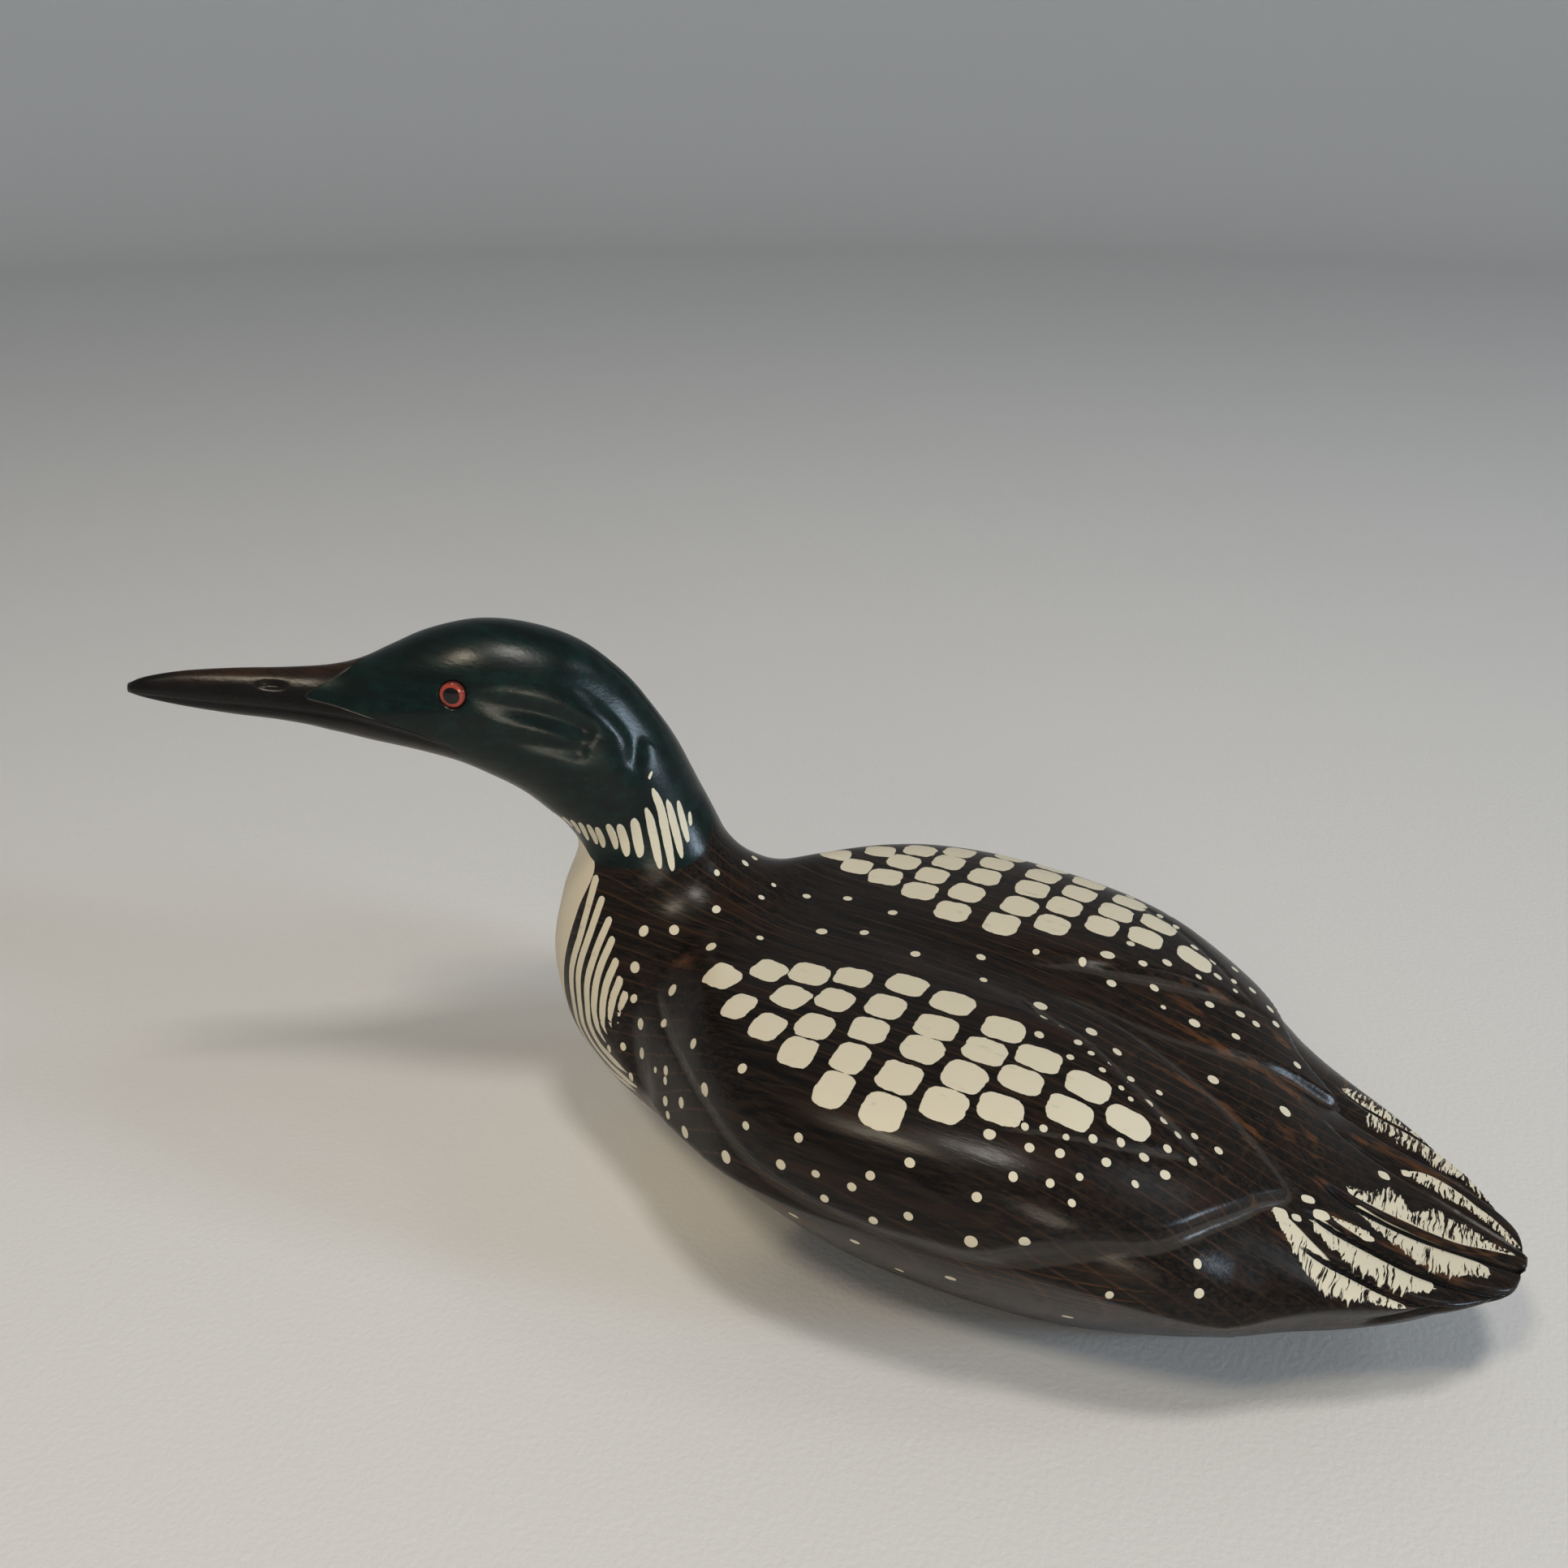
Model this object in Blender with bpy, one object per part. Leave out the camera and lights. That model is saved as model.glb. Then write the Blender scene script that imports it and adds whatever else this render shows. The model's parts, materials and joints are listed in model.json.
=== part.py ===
"""A carved wooden loon decoy with two set glass eyes.

The carving is one closed loft. Sections run from the tail tip over the body, fan round
the breast into the neck, and follow the head to the tip of the bill. The wings, the
feather cuts, the tail grooves and the cheek are then cut into its skin, and the neck
and head are turned to the bird's left. The fine skin is thinned to a light mesh, and
the underside is planed flat.

Frame: the bill points to -X, the tail to +X, the bird's left side is -Y, +Z is up and
the flat underside lies on Z = 0. Sizes in the tables are millimetres.
"""

from math import cos, pi, radians, sin
from typing import NamedTuple

import bmesh
import bpy
import numpy as np
from mathutils import Matrix, Vector

MM = 0.001

# Driving dimensions
HEAD_TURN = radians(30.0)
NECK_AXIS_X = -115.0
TURN_START_STATION = 18.0
TURN_END_STATION = 23.0

EYE_DIAMETER = 8.4
EYE_DOME_HEIGHT = 1.4
EYE_BACK_DEPTH = 2.6
EYE_FORWARD = 61.5
EYE_HEIGHT = 175.4
EYE_SIDE = 18.2
EYE_TOE_OUT = radians(12.0)
EYE_TILT_UP = radians(4.0)
EYE_SEAT_GAP = 0.3
EYE_SOCKET_REACH = 8.0
EYE_WAIST = 0.6
EYE_BUTTON_SHARE = 0.7
EYE_SIDES = 24
EYE_DOME_POINTS = 6

# How finely the skin is made before it is thinned
RING_STEP = 1.6
HALF_COLUMNS = 120
SECTION_SAMPLES = 200
FLAT_SAMPLES = 25
CARVING_TRIANGLES = 8900

# The block that planes the underside flat, and what is left on the skin for it to take off
PLANE_LENGTH = 500.0
PLANE_WIDTH = 300.0
PLANE_HEIGHT = 20.0
PLANED_OFF = 0.6


class Station(NamedTuple):
    """One section of the loft, in the plane through its top and bottom points."""

    top_x: float
    top_z: float
    low_x: float
    low_z: float
    half_width: float
    widest: float
    upper_power: float
    lower_power: float
    flat_half_width: float


# Tail tip to neck: x of top and bottom are along the body
BODY_STATIONS = (
    Station(170.0, 41.9, 170.0, 39.8, 4.5, 0.50, 2.0, 2.0, 0.0),
    Station(168.6, 42.5, 168.4, 38.0, 10.5, 0.50, 2.4, 2.0, 0.0),
    Station(166.0, 43.0, 164.5, 35.5, 16.6, 0.55, 3.0, 1.6, 0.0),
    Station(160.0, 44.2, 157.0, 30.5, 23.5, 0.72, 3.2, 1.4, 0.0),
    Station(151.5, 46.0, 149.0, 24.5, 31.5, 0.83, 3.2, 1.38, 0.0),
    Station(138.5, 49.5, 137.0, 14.5, 40.7, 0.87, 2.8, 1.4, 0.0),
    Station(125.0, 54.5, 125.0, 7.0, 48.7, 0.84, 2.4, 1.35, 2.0),
    Station(111.0, 62.0, 111.0, 1.6, 57.0, 0.73, 2.3, 1.22, 7.0),
    Station(98.0, 70.5, 98.0, 0.0, 65.5, 0.62, 2.4, 1.13, 16.0),
    Station(80.0, 80.5, 80.0, 0.0, 75.0, 0.61, 2.9, 1.1, 28.0),
    Station(50.0, 92.0, 50.0, 0.0, 84.5, 0.61, 3.6, 1.15, 38.0),
    Station(20.0, 96.2, 20.0, 0.0, 89.0, 0.60, 4.3, 1.15, 41.0),
    Station(-15.0, 97.6, -15.0, 0.0, 90.5, 0.60, 4.7, 1.1, 40.0),
    Station(-40.0, 97.7, -46.0, 0.0, 86.0, 0.60, 5.0, 1.03, 33.0),
    Station(-55.0, 98.0, -71.0, 0.0, 76.5, 0.58, 5.4, 1.0, 23.0),
    Station(-64.5, 98.8, -94.0, 2.5, 66.8, 0.55, 5.2, 1.06, 12.0),
    Station(-72.0, 101.0, -114.0, 10.0, 56.8, 0.51, 4.0, 1.25, 3.0),
    Station(-79.0, 104.5, -132.0, 23.0, 47.0, 0.47, 2.6, 1.5, 0.0),
    Station(-86.0, 109.5, -146.5, 42.0, 39.2, 0.46, 2.1, 1.8, 0.0),
    Station(-91.5, 116.0, -153.0, 68.0, 32.0, 0.46, 1.9, 2.0, 0.0),
    Station(-95.6, 124.0, -149.0, 93.0, 26.0, 0.47, 1.9, 2.0, 0.0),
    Station(-99.8, 132.0, -142.3, 112.0, 22.0, 0.48, 2.0, 2.0, 0.0),
)
FIRST_BASE_STATION = 8
LAST_BASE_STATION = 14

# Neck to bill tip: x of top and bottom are distances forward of the neck's axis
HEAD_STATIONS = (
    Station(-12.2, 139.0, 30.6, 122.0, 21.3, 0.48, 2.0, 2.0, 0.0),
    Station(-7.2, 150.0, 37.5, 129.5, 21.3, 0.48, 2.0, 2.0, 0.0),
    Station(0.0, 162.0, 45.5, 136.5, 21.5, 0.48, 2.0, 2.0, 0.0),
    Station(9.0, 174.0, 55.0, 142.5, 21.8, 0.48, 2.0, 2.1, 0.0),
    Station(22.0, 184.8, 64.5, 147.5, 21.5, 0.47, 2.0, 2.2, 0.0),
    Station(38.0, 191.2, 75.0, 151.0, 20.3, 0.45, 2.0, 2.2, 0.0),
    Station(54.0, 193.3, 83.0, 153.0, 18.0, 0.44, 2.0, 2.2, 0.0),
    Station(70.0, 190.5, 91.0, 154.7, 15.2, 0.42, 2.0, 2.1, 0.0),
    Station(82.0, 185.7, 98.0, 156.5, 12.5, 0.40, 2.0, 2.0, 0.0),
    Station(92.0, 181.5, 104.5, 158.2, 10.5, 0.40, 1.9, 2.0, 0.0),
    Station(102.0, 179.5, 111.0, 160.0, 9.0, 0.42, 1.8, 2.0, 0.0),
    Station(116.0, 179.0, 121.0, 162.0, 7.4, 0.44, 1.8, 2.0, 0.0),
    Station(132.0, 179.2, 134.0, 164.0, 5.9, 0.45, 1.8, 2.0, 0.0),
    Station(148.0, 178.7, 149.0, 167.0, 4.2, 0.45, 1.8, 2.0, 0.0),
    Station(160.0, 177.0, 160.5, 170.0, 2.7, 0.47, 1.9, 2.0, 0.0),
    Station(165.5, 175.0, 165.8, 172.0, 1.1, 0.50, 2.0, 2.0, 0.0),
)


class WingPoint(NamedTuple):
    """A point of the wing's outline, and how the wood is cut there."""

    x: float
    side: float
    z: float
    depth: float
    wall: float
    reach: float


# From the shoulder along the lower edge to the tip, then back along the inner edge
WING_LOWER_EDGE = (
    WingPoint(-94, 39, 86, 0.0, 2.0, 3.5),
    WingPoint(-80, 54, 80, 1.3, 2.0, 3.5),
    WingPoint(-66, 69, 77.5, 1.7, 2.2, 3.6),
    WingPoint(-52, 80.5, 73.5, 1.8, 2.2, 3.8),
    WingPoint(-36, 87.5, 67, 1.9, 2.2, 4.5),
    WingPoint(-12, 90.5, 60.5, 2.1, 2.4, 6.0),
    WingPoint(14, 89.5, 55.5, 2.5, 3.0, 9.0),
    WingPoint(34, 87, 55.5, 2.9, 4.5, 10.0),
    WingPoint(52, 84, 61.5, 3.3, 6.5, 10.0),
    WingPoint(66, 79.5, 66, 3.6, 8.0, 9.0),
    WingPoint(78, 70, 68, 3.8, 7.5, 8.0),
    WingPoint(90.5, 54, 67.5, 3.8, 7.0, 8.0),
    WingPoint(100, 38, 65.5, 3.4, 4.5, 8.0),
)
WING_INNER_EDGE = (
    WingPoint(97, 20.5, 69, 3.1, 2.6, 12.0),
    WingPoint(89, 16.2, 73, 3.0, 2.8, 12.0),
    WingPoint(81, 12.2, 78, 2.6, 2.8, 11.0),
    WingPoint(71, 8.2, 83, 1.7, 2.8, 10.0),
    WingPoint(61, 5, 88, 1.0, 2.6, 9.0),
    WingPoint(50, 2.4, 92, 0.7, 2.4, 8.0),
    WingPoint(35, 1.0, 95, 0.6, 2.0, 6.0),
    WingPoint(18, 0.6, 97, 0.0, 2.0, 4.0),
)
LEFT_WING_TIP = WingPoint(106.5, 25.5, 63.5, 3.0, 2.4, 10.0)
RIGHT_WING_TIP = WingPoint(115, 28.5, 60, 3.0, 2.4, 10.0)
WING_SCOOP = 0.6
WING_SCOOP_WALLS = (3.0, 6.0)
WING_ZONE_AHEAD = -112.0
WING_ZONE_BEHIND = 150.0
WING_ZONE_LOW = 20.0

# The back between the chequered lobes is cut lower, up to a wall along each lobe.
# The lines are seen from above, as (x, distance from the middle).
LOBE_INNER = ((-60, 8), (0, 9), (22, 12), (28, 15.5), (39, 19), (56, 27.8), (74, 36.2), (84, 41))
LOBE_OUTER = ((20, 76), (33, 69), (49, 62), (63, 55), (76, 46.5), (84, 41))
LOBE_WALL = ((-60, 26), (0, 22), (26, 7.5), (84, 5.0))
LOBE_STEP = ((-60, 0.0), (-40, 0.2), (-15, 0.8), (5, 1.4), (20, 2.2), (35, 2.8), (56, 3.3), (74, 1.6), (84, 0.6),
             (92, 0.0))
BACK_HOLLOW = ((-60, 0.0), (-15, 0.4), (5, 0.7), (20, 1.1), (50, 1.8), (71, 2.4), (89, 1.6), (105, 0.3), (112, 0.0))
BACK_HOLLOW_OVERLAP = 6.0
LOBE_CREASE_DEPTH = 0.5
LOBE_CREASE_WIDTH = 1.2
LOBE_CREASE_SPAN = (26.0, 40.0, 74.0, 84.0)

# Cuts between tail feathers seen from above, as (x, distance from the middle)
TAIL_CUTS = (
    ((108, 14), (127, 12.5), (139, 11), (154, 7.8), (167, 4.6), (171, 3.8)),
    ((108, 28), (127, 25.8), (143, 24.6), (155, 21.5), (164, 17.8), (168, 15.0)),
    ((112, 40), (127, 38), (134, 37.5), (146, 34.6), (157, 28.5), (160, 26)),
)
TAIL_CUT_DEPTH = 0.9
TAIL_CUT_WIDTH = 1.3
TAIL_STEP = 1.2
TAIL_STEP_REACH = 7.0
TAIL_LIP_WIDTH = 0.6
TAIL_CUT_FADE = (108.0, 122.0)
TAIL_CUT_HEIGHTS = (33.0, 38.0)

FLANK_FOLD = ((-99, 42, 80), (-97, 48, 69), (-90, 56, 59), (-78, 65, 50))
FLANK_FOLD_DEPTH = 1.6
FLANK_FOLD_WIDTH = 5.5
FLANK_FOLD_ENDS = (0.08, 0.92)


class Hollow(NamedTuple):
    """A groove on each side of the head, along a line of (forward of the neck's axis, height)."""

    line: tuple
    depth: float
    upper_width: float
    lower_width: float
    start_fade: float


HEAD_HOLLOWS = (
    Hollow(((57, 174.0), (45, 172), (30, 167.5), (17.5, 160.5)), 2.5, 2.8, 4.8, 0.55),
    Hollow(((54, 163.5), (35, 159), (20, 155)), 1.4, 2.8, 3.2, 0.55),
    Hollow(((33, 180.5), (21, 175.5), (11, 166.5), (5.5, 157), (6, 148)), 1.6, 5.0, 3.0, 0.5),
    Hollow(((64, 176.0), (74, 175.5), (86, 173.5)), 0.8, 3.4, 3.4, 0.25),
    Hollow(
        ((161, 171.6), (148, 170.0), (126, 168.3), (105, 166.2), (92, 164.6), (79, 161.5), (65, 157.6)),
        0.8, 0.9, 1.5, 0.1,
    ),
    Hollow(((123.5, 175.4), (116.5, 174.9)), 0.8, 1.1, 1.1, 0.25),
)
HOLLOW_RUN_OUT = 0.05
HOLLOW_END_FADE = 0.1
HOLLOW_SIDES = (1.5, 3.0)

# Where each family of cuts begins and is whole: x on the body, heights elsewhere
BODY_CUT_X = (-115.0, -100.0)
BODY_CUT_HEIGHTS = (25.0, 40.0)
BACK_CUT_HEIGHTS = (55.0, 65.0)
HEAD_CUT_HEIGHTS = (128.0, 140.0)


def clear_scene() -> None:
    """Remove whatever the startup scene holds."""
    for thing in list(bpy.data.objects):
        bpy.data.objects.remove(thing, do_unlink=True)


def smooth_curve(knots, values, at):
    """A smooth curve through the values, read at the given places."""
    knots = np.asarray(knots, float)
    values = np.asarray(values, float)
    at = np.clip(np.asarray(at, float), knots[0], knots[-1])
    gaps = np.diff(knots)
    slopes = np.diff(values) / gaps
    tangents = np.empty_like(values)
    tangents[0] = slopes[0]
    tangents[-1] = slopes[-1]
    tangents[1:-1] = (slopes[:-1] * gaps[1:] + slopes[1:] * gaps[:-1]) / (gaps[1:] + gaps[:-1])
    span = np.clip(np.searchsorted(knots, at, side="right") - 1, 0, len(knots) - 2)
    u = (at - knots[span]) / gaps[span]
    start = values[span] * (2 * u**3 - 3 * u**2 + 1)
    leaving = tangents[span] * gaps[span] * (u**3 - 2 * u**2 + u)
    end = values[span + 1] * (3 * u**2 - 2 * u**3)
    arriving = tangents[span + 1] * gaps[span] * (u**3 - u**2)
    return start + leaving + end + arriving


def along(pairs, at):
    """A value that changes smoothly along the body, from (x, value) pairs."""
    return smooth_curve([x for x, _ in pairs], [value for _, value in pairs], at)


def ramp(value, low, high):
    """Rise smoothly from 0 at low to 1 at high."""
    u = np.clip((value - low) / (high - low), 0.0, 1.0)
    return u * u * (3.0 - 2.0 * u)


def bump(distance, width):
    """A rounded bell of the given width, 1 on the line."""
    return np.exp(-((distance / width) ** 2))


def fine_line(points, pieces=8):
    """The corner points of a drawn line, rounded into a smooth one."""
    points = np.asarray(points, float)
    chord = np.concatenate([[0.0], np.cumsum(np.linalg.norm(np.diff(points, axis=0), axis=1))])
    at = np.linspace(0.0, chord[-1], pieces * (len(points) - 1) + 1)
    return np.stack([smooth_curve(chord, points[:, axis], at) for axis in range(points.shape[1])], 1)


def line_distance(places, line):
    """Distance from each place to a line, and how far along the line its nearest point is."""
    nearest = np.full(len(places), np.inf)
    share = np.zeros(len(places))
    count = len(line) - 1
    for index in range(count):
        start = line[index]
        step = line[index + 1] - start
        u = np.clip((places - start) @ step / (step @ step), 0.0, 1.0)
        gap = np.linalg.norm(places - (start + u[:, None] * step), axis=1)
        closer = gap < nearest
        nearest = np.where(closer, gap, nearest)
        share = np.where(closer, (index + u) / count, share)
    return nearest, share


def encloses(outline, places):
    """Whether each place lies inside a closed outline in the plane."""
    inside = np.zeros(len(places), bool)
    following = np.roll(outline, -1, axis=0)
    for (x0, y0), (x1, y1) in zip(outline, following):
        if y0 == y1:
            continue
        spans = (y0 > places[:, 1]) != (y1 > places[:, 1])
        crossing = x0 + (places[:, 1] - y0) * (x1 - x0) / (y1 - y0)
        inside ^= spans & (places[:, 0] < crossing)
    return inside


def station_table():
    """All stations in the body's frame before the head turns, one row each."""
    rows = [list(station) for station in BODY_STATIONS]
    for station in HEAD_STATIONS:
        row = list(station)
        row[0] = NECK_AXIS_X - station.top_x
        row[2] = NECK_AXIS_X - station.low_x
        rows.append(row)
    return np.array(rows, float)


def ring_places(table):
    """Where the rings lie, as station numbers with fractions, about one step apart."""
    middles = (table[:, [0, 1]] + table[:, [2, 3]]) / 2
    gaps = np.linalg.norm(np.diff(middles, axis=0), axis=1)
    places = []
    for index, gap in enumerate(gaps):
        count = max(2, round(gap / RING_STEP))
        places.extend(index + np.arange(count) / count)
    places.append(len(table) - 1.0)
    return np.array(places)


def half_section(row):
    """The left half of one section, from its top to its bottom point."""
    top_x, top_z, low_x, low_z, half_width, widest, upper, lower, flat = row
    angle = np.linspace(0.0, pi / 2, SECTION_SAMPLES)
    inward = np.linspace(1.0, 0.0, FLAT_SAMPLES)[1:]
    side = np.concatenate([
        half_width * np.sin(angle) ** (2 / upper),
        flat + (half_width - flat) * np.cos(angle[1:]) ** (2 / lower),
        flat * inward,
    ])
    height = np.concatenate([
        widest + (1 - widest) * np.cos(angle) ** (2 / upper),
        widest - widest * np.sin(angle[1:]) ** (2 / lower),
        np.zeros_like(inward),
    ])
    points = np.stack([low_x + (top_x - low_x) * height, side, low_z + (top_z - low_z) * height], 1)
    length = np.concatenate([[0.0], np.cumsum(np.linalg.norm(np.diff(points, axis=0), axis=1))])
    at = np.linspace(0.0, length[-1], HALF_COLUMNS + 1)
    return np.stack([np.interp(at, length, points[:, axis]) for axis in range(3)], 1), at


def skin_grid():
    """The uncarved skin before the head turns: rings of left halves, girths and ring places."""
    table = station_table()
    places = ring_places(table)
    knots = np.arange(len(table), dtype=float)
    rows = np.stack([smooth_curve(knots, table[:, column], places) for column in range(table.shape[1])], 1)
    rows[:, 8] = np.maximum(rows[:, 8], 0.0)
    on_base = (places >= FIRST_BASE_STATION) & (places <= LAST_BASE_STATION)
    rows[:, 3] = np.where(on_base, -PLANED_OFF, np.maximum(rows[:, 3], -PLANED_OFF))
    halves = [half_section(row) for row in rows]
    return np.array([half[0] for half in halves]), np.array([half[1] for half in halves]), places


def wing_cut(skin, girth, tip):
    """The wings stand proud of the flanks and the rump along their whole outline."""
    flat = skin.reshape(-1, 3)
    flat_girth = girth.ravel()
    outline_points = WING_LOWER_EDGE + (tip,) + WING_INNER_EDGE
    laid = []
    for point in outline_points:
        nearest = int(np.argmin(np.linalg.norm(flat - (point.x, point.side, point.z), axis=1)))
        laid.append((flat[nearest, 0], flat_girth[nearest]))
    outline = fine_line(laid)
    places = np.stack([flat[:, 0], flat_girth], 1)
    along_wing = (flat[:, 0] > WING_ZONE_AHEAD) & (flat[:, 0] < WING_ZONE_BEHIND)
    near = along_wing & (flat[:, 2] > WING_ZONE_LOW)
    gap, share = line_distance(places[near], outline)
    inside = encloses(outline, places[near])
    knots = np.linspace(0.0, 1.0, len(outline_points))
    depth = np.interp(share, knots, [point.depth for point in outline_points])
    wall = np.interp(share, knots, [point.wall for point in outline_points])
    reach = np.interp(share, knots, [point.reach for point in outline_points])
    rise = np.clip(gap / wall, 0.0, 1.0)
    scoop = 4.0 * WING_SCOOP * rise * (1.0 - rise) * ramp(wall, *WING_SCOOP_WALLS)
    cut = np.zeros(len(flat))
    cut[near] = -np.where(inside, depth * (1.0 - rise) + scoop, depth * np.exp(-gap / reach))
    return cut


def back_cut(skin):
    """The hollow along the middle of the back, stepped down from the chequered lobes."""
    x, side, _ = skin.T
    edge = along(LOBE_INNER, x)
    wall = np.clip((edge + along(LOBE_WALL, x) - side) / along(LOBE_WALL, x), 0.0, 1.0)
    step = along(LOBE_STEP, x) * np.where(side < edge, 1.0, wall**2)
    hollow = along(BACK_HOLLOW, x) * ramp(edge + BACK_HOLLOW_OVERLAP - side, 0.0, edge + BACK_HOLLOW_OVERLAP)
    return -(step + hollow)


def lobe_crease(skin):
    """A fine cut along the outer side of each chequered lobe."""
    x, side, _ = skin.T
    ahead, full, fading, gone = LOBE_CREASE_SPAN
    span = ramp(x, ahead, full) * ramp(-x, -gone, -fading)
    return -LOBE_CREASE_DEPTH * bump(side - along(LOBE_OUTER, x), LOBE_CREASE_WIDTH) * span


def tail_cut(skin):
    """Stepped edges between the tail feathers, the middle feather on top."""
    x, side, z = skin.T
    cut = np.zeros(len(skin))
    for line in TAIL_CUTS:
        drawn = fine_line(line)
        gap, _ = line_distance(skin[:, :2], drawn)
        beyond = side > np.interp(x, drawn[:, 0], drawn[:, 1])
        step = np.where(beyond, np.exp(-gap / TAIL_STEP_REACH), bump(gap, TAIL_LIP_WIDTH))
        cut -= TAIL_CUT_DEPTH * bump(gap, TAIL_CUT_WIDTH) + TAIL_STEP * step
    return cut * ramp(x, *TAIL_CUT_FADE) * ramp(z, *TAIL_CUT_HEIGHTS)


def flank_fold(skin):
    """A soft hollow between the breast and the front of the wing."""
    gap, share = line_distance(skin, fine_line(FLANK_FOLD))
    return -FLANK_FOLD_DEPTH * bump(gap, FLANK_FOLD_WIDTH) * np.sin(pi * np.clip(share, *FLANK_FOLD_ENDS))


def head_cut(skin):
    """Hollows of the cheek, the eye channel, the gape line and the nostrils."""
    x, side, z = skin.T
    seen = np.stack([NECK_AXIS_X - x, z], 1)
    cut = np.zeros(len(skin))
    for hollow in HEAD_HOLLOWS:
        line = fine_line(hollow.line)
        gap, share = line_distance(seen, line)
        order = np.argsort(line[:, 0])
        above = z > np.interp(seen[:, 0], line[order, 0], line[order, 1])
        width = np.where(above, hollow.upper_width, hollow.lower_width)
        ends = ramp(share, -HOLLOW_RUN_OUT, hollow.start_fade) * ramp(1.0 - share, -HOLLOW_RUN_OUT, HOLLOW_END_FADE)
        cut -= hollow.depth * bump(gap, width) * ends
    return cut * ramp(side, *HOLLOW_SIDES)


def carve(skin, girth, tip):
    """How far each place on one side's skin moves outward, negative where wood is cut away."""
    flat = skin.reshape(-1, 3)
    x, _, z = flat.T
    on_body = ramp(x, *BODY_CUT_X) * ramp(z, *BODY_CUT_HEIGHTS)
    on_head = ramp(z, *HEAD_CUT_HEIGHTS)
    on_back = ramp(z, *BACK_CUT_HEIGHTS)
    body = wing_cut(skin, girth, tip) + (back_cut(flat) + lobe_crease(flat)) * on_back + flank_fold(flat)
    return (body * on_body + tail_cut(flat) + head_cut(flat) * on_head).reshape(skin.shape[:-1])


def outward(grid):
    """Unit normals of a grid of rings of left halves."""
    along_body = np.gradient(grid, axis=0)
    around = np.gradient(grid, axis=1)
    around[:, [0, -1], 0] = 0.0
    around[:, [0, -1], 2] = 0.0
    normal = np.cross(around, along_body)
    length = np.linalg.norm(normal, axis=2, keepdims=True)
    return normal / np.maximum(length, 1e-9)


def turn_head(points, places):
    """Turn neck and head about the neck's axis, more and more from its root upward."""
    angle = HEAD_TURN * ramp(places, TURN_START_STATION, TURN_END_STATION)[:, None]
    x = points[..., 0] - NECK_AXIS_X
    y = points[..., 1]
    turned = points.copy()
    turned[..., 0] = NECK_AXIS_X + x * np.cos(angle) - y * np.sin(angle)
    turned[..., 1] = x * np.sin(angle) + y * np.cos(angle)
    return turned


def carved_rings():
    """Closed rings of the finished carving in metres, tail tip first."""
    grid, girth, places = skin_grid()
    normals = outward(grid)
    left = grid + normals * carve(grid, girth, LEFT_WING_TIP)[..., None]
    right = grid + normals * carve(grid, girth, RIGHT_WING_TIP)[..., None]
    rings = np.concatenate([left * (1.0, -1.0, 1.0), right[:, -2:0:-1]], axis=1)
    return turn_head(rings, places) * MM


def material(name, colour, roughness):
    """A plain Principled finish."""
    made = bpy.data.materials.new(name)
    made.use_nodes = True
    shader = made.node_tree.nodes["Principled BSDF"]
    shader.inputs["Base Color"].default_value = (*colour, 1.0)
    shader.inputs["Roughness"].default_value = roughness
    return made


def object_from(builder, name, finish):
    """Turn a bmesh into a named object with one material."""
    mesh = bpy.data.meshes.new(name)
    builder.to_mesh(mesh)
    builder.free()
    mesh.materials.append(finish)
    mesh.shade_smooth()
    made = bpy.data.objects.new(name, mesh)
    bpy.context.scene.collection.objects.link(made)
    return made


def loft(rings, name, finish):
    """Bridge ring after ring from one end to the other and close both ends."""
    builder = bmesh.new()
    loops = []
    for ring in rings:
        corners = [builder.verts.new(point) for point in ring]
        loops.append([builder.edges.new(pair) for pair in zip(corners, corners[1:] + corners[:1])])
    for end in (loops[0], loops[-1]):
        bmesh.ops.contextual_create(builder, geom=end)
    for first, second in zip(loops, loops[1:]):
        bmesh.ops.bridge_loops(builder, edges=first + second)
    bmesh.ops.recalc_face_normals(builder, faces=builder.faces)
    bmesh.ops.triangulate(builder, faces=builder.faces)
    return object_from(builder, name, finish)


def thin(carving, triangles):
    """Keep only so many triangles, most of them where the carving is."""
    decimate = carving.modifiers.new("thinned", "DECIMATE")
    decimate.ratio = triangles / len(carving.data.polygons)


def cut_from(carving, cutter):
    """Take a hidden cutter out of the carving."""
    cutter.hide_render = True
    cutter.display_type = "WIRE"
    boolean = carving.modifiers.new(cutter.name, "BOOLEAN")
    boolean.operation = "DIFFERENCE"
    boolean.object = cutter
    boolean.solver = "EXACT"


def plane_underside(carving):
    """Cut everything below the ground away, which leaves a flat foot."""
    builder = bmesh.new()
    bmesh.ops.create_cube(builder, size=1.0)
    bmesh.ops.scale(builder, vec=Vector((PLANE_LENGTH, PLANE_WIDTH, PLANE_HEIGHT)) * MM, verts=builder.verts)
    bmesh.ops.translate(builder, vec=(0.0, 0.0, -PLANE_HEIGHT / 2 * MM), verts=builder.verts)
    cut_from(carving, object_from(builder, "bench_plane", carving.data.materials[0]))


def eye_seat(side):
    """Where an eye sits and which way it looks: a frame whose +Z points out of the head."""
    forward = Vector((-cos(HEAD_TURN), -sin(HEAD_TURN), 0.0))
    outward_side = Vector((sin(HEAD_TURN), -cos(HEAD_TURN), 0.0)) * side
    centre = Vector((NECK_AXIS_X, 0.0, EYE_HEIGHT)) + forward * EYE_FORWARD + outward_side * EYE_SIDE
    looking = outward_side * cos(EYE_TOE_OUT) + forward * sin(EYE_TOE_OUT)
    looking = (looking * cos(EYE_TILT_UP) + Vector((0.0, 0.0, 1.0)) * sin(EYE_TILT_UP)).normalized()
    return Matrix.Translation(centre * MM) @ looking.to_track_quat("Z", "Y").to_matrix().to_4x4()


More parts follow.
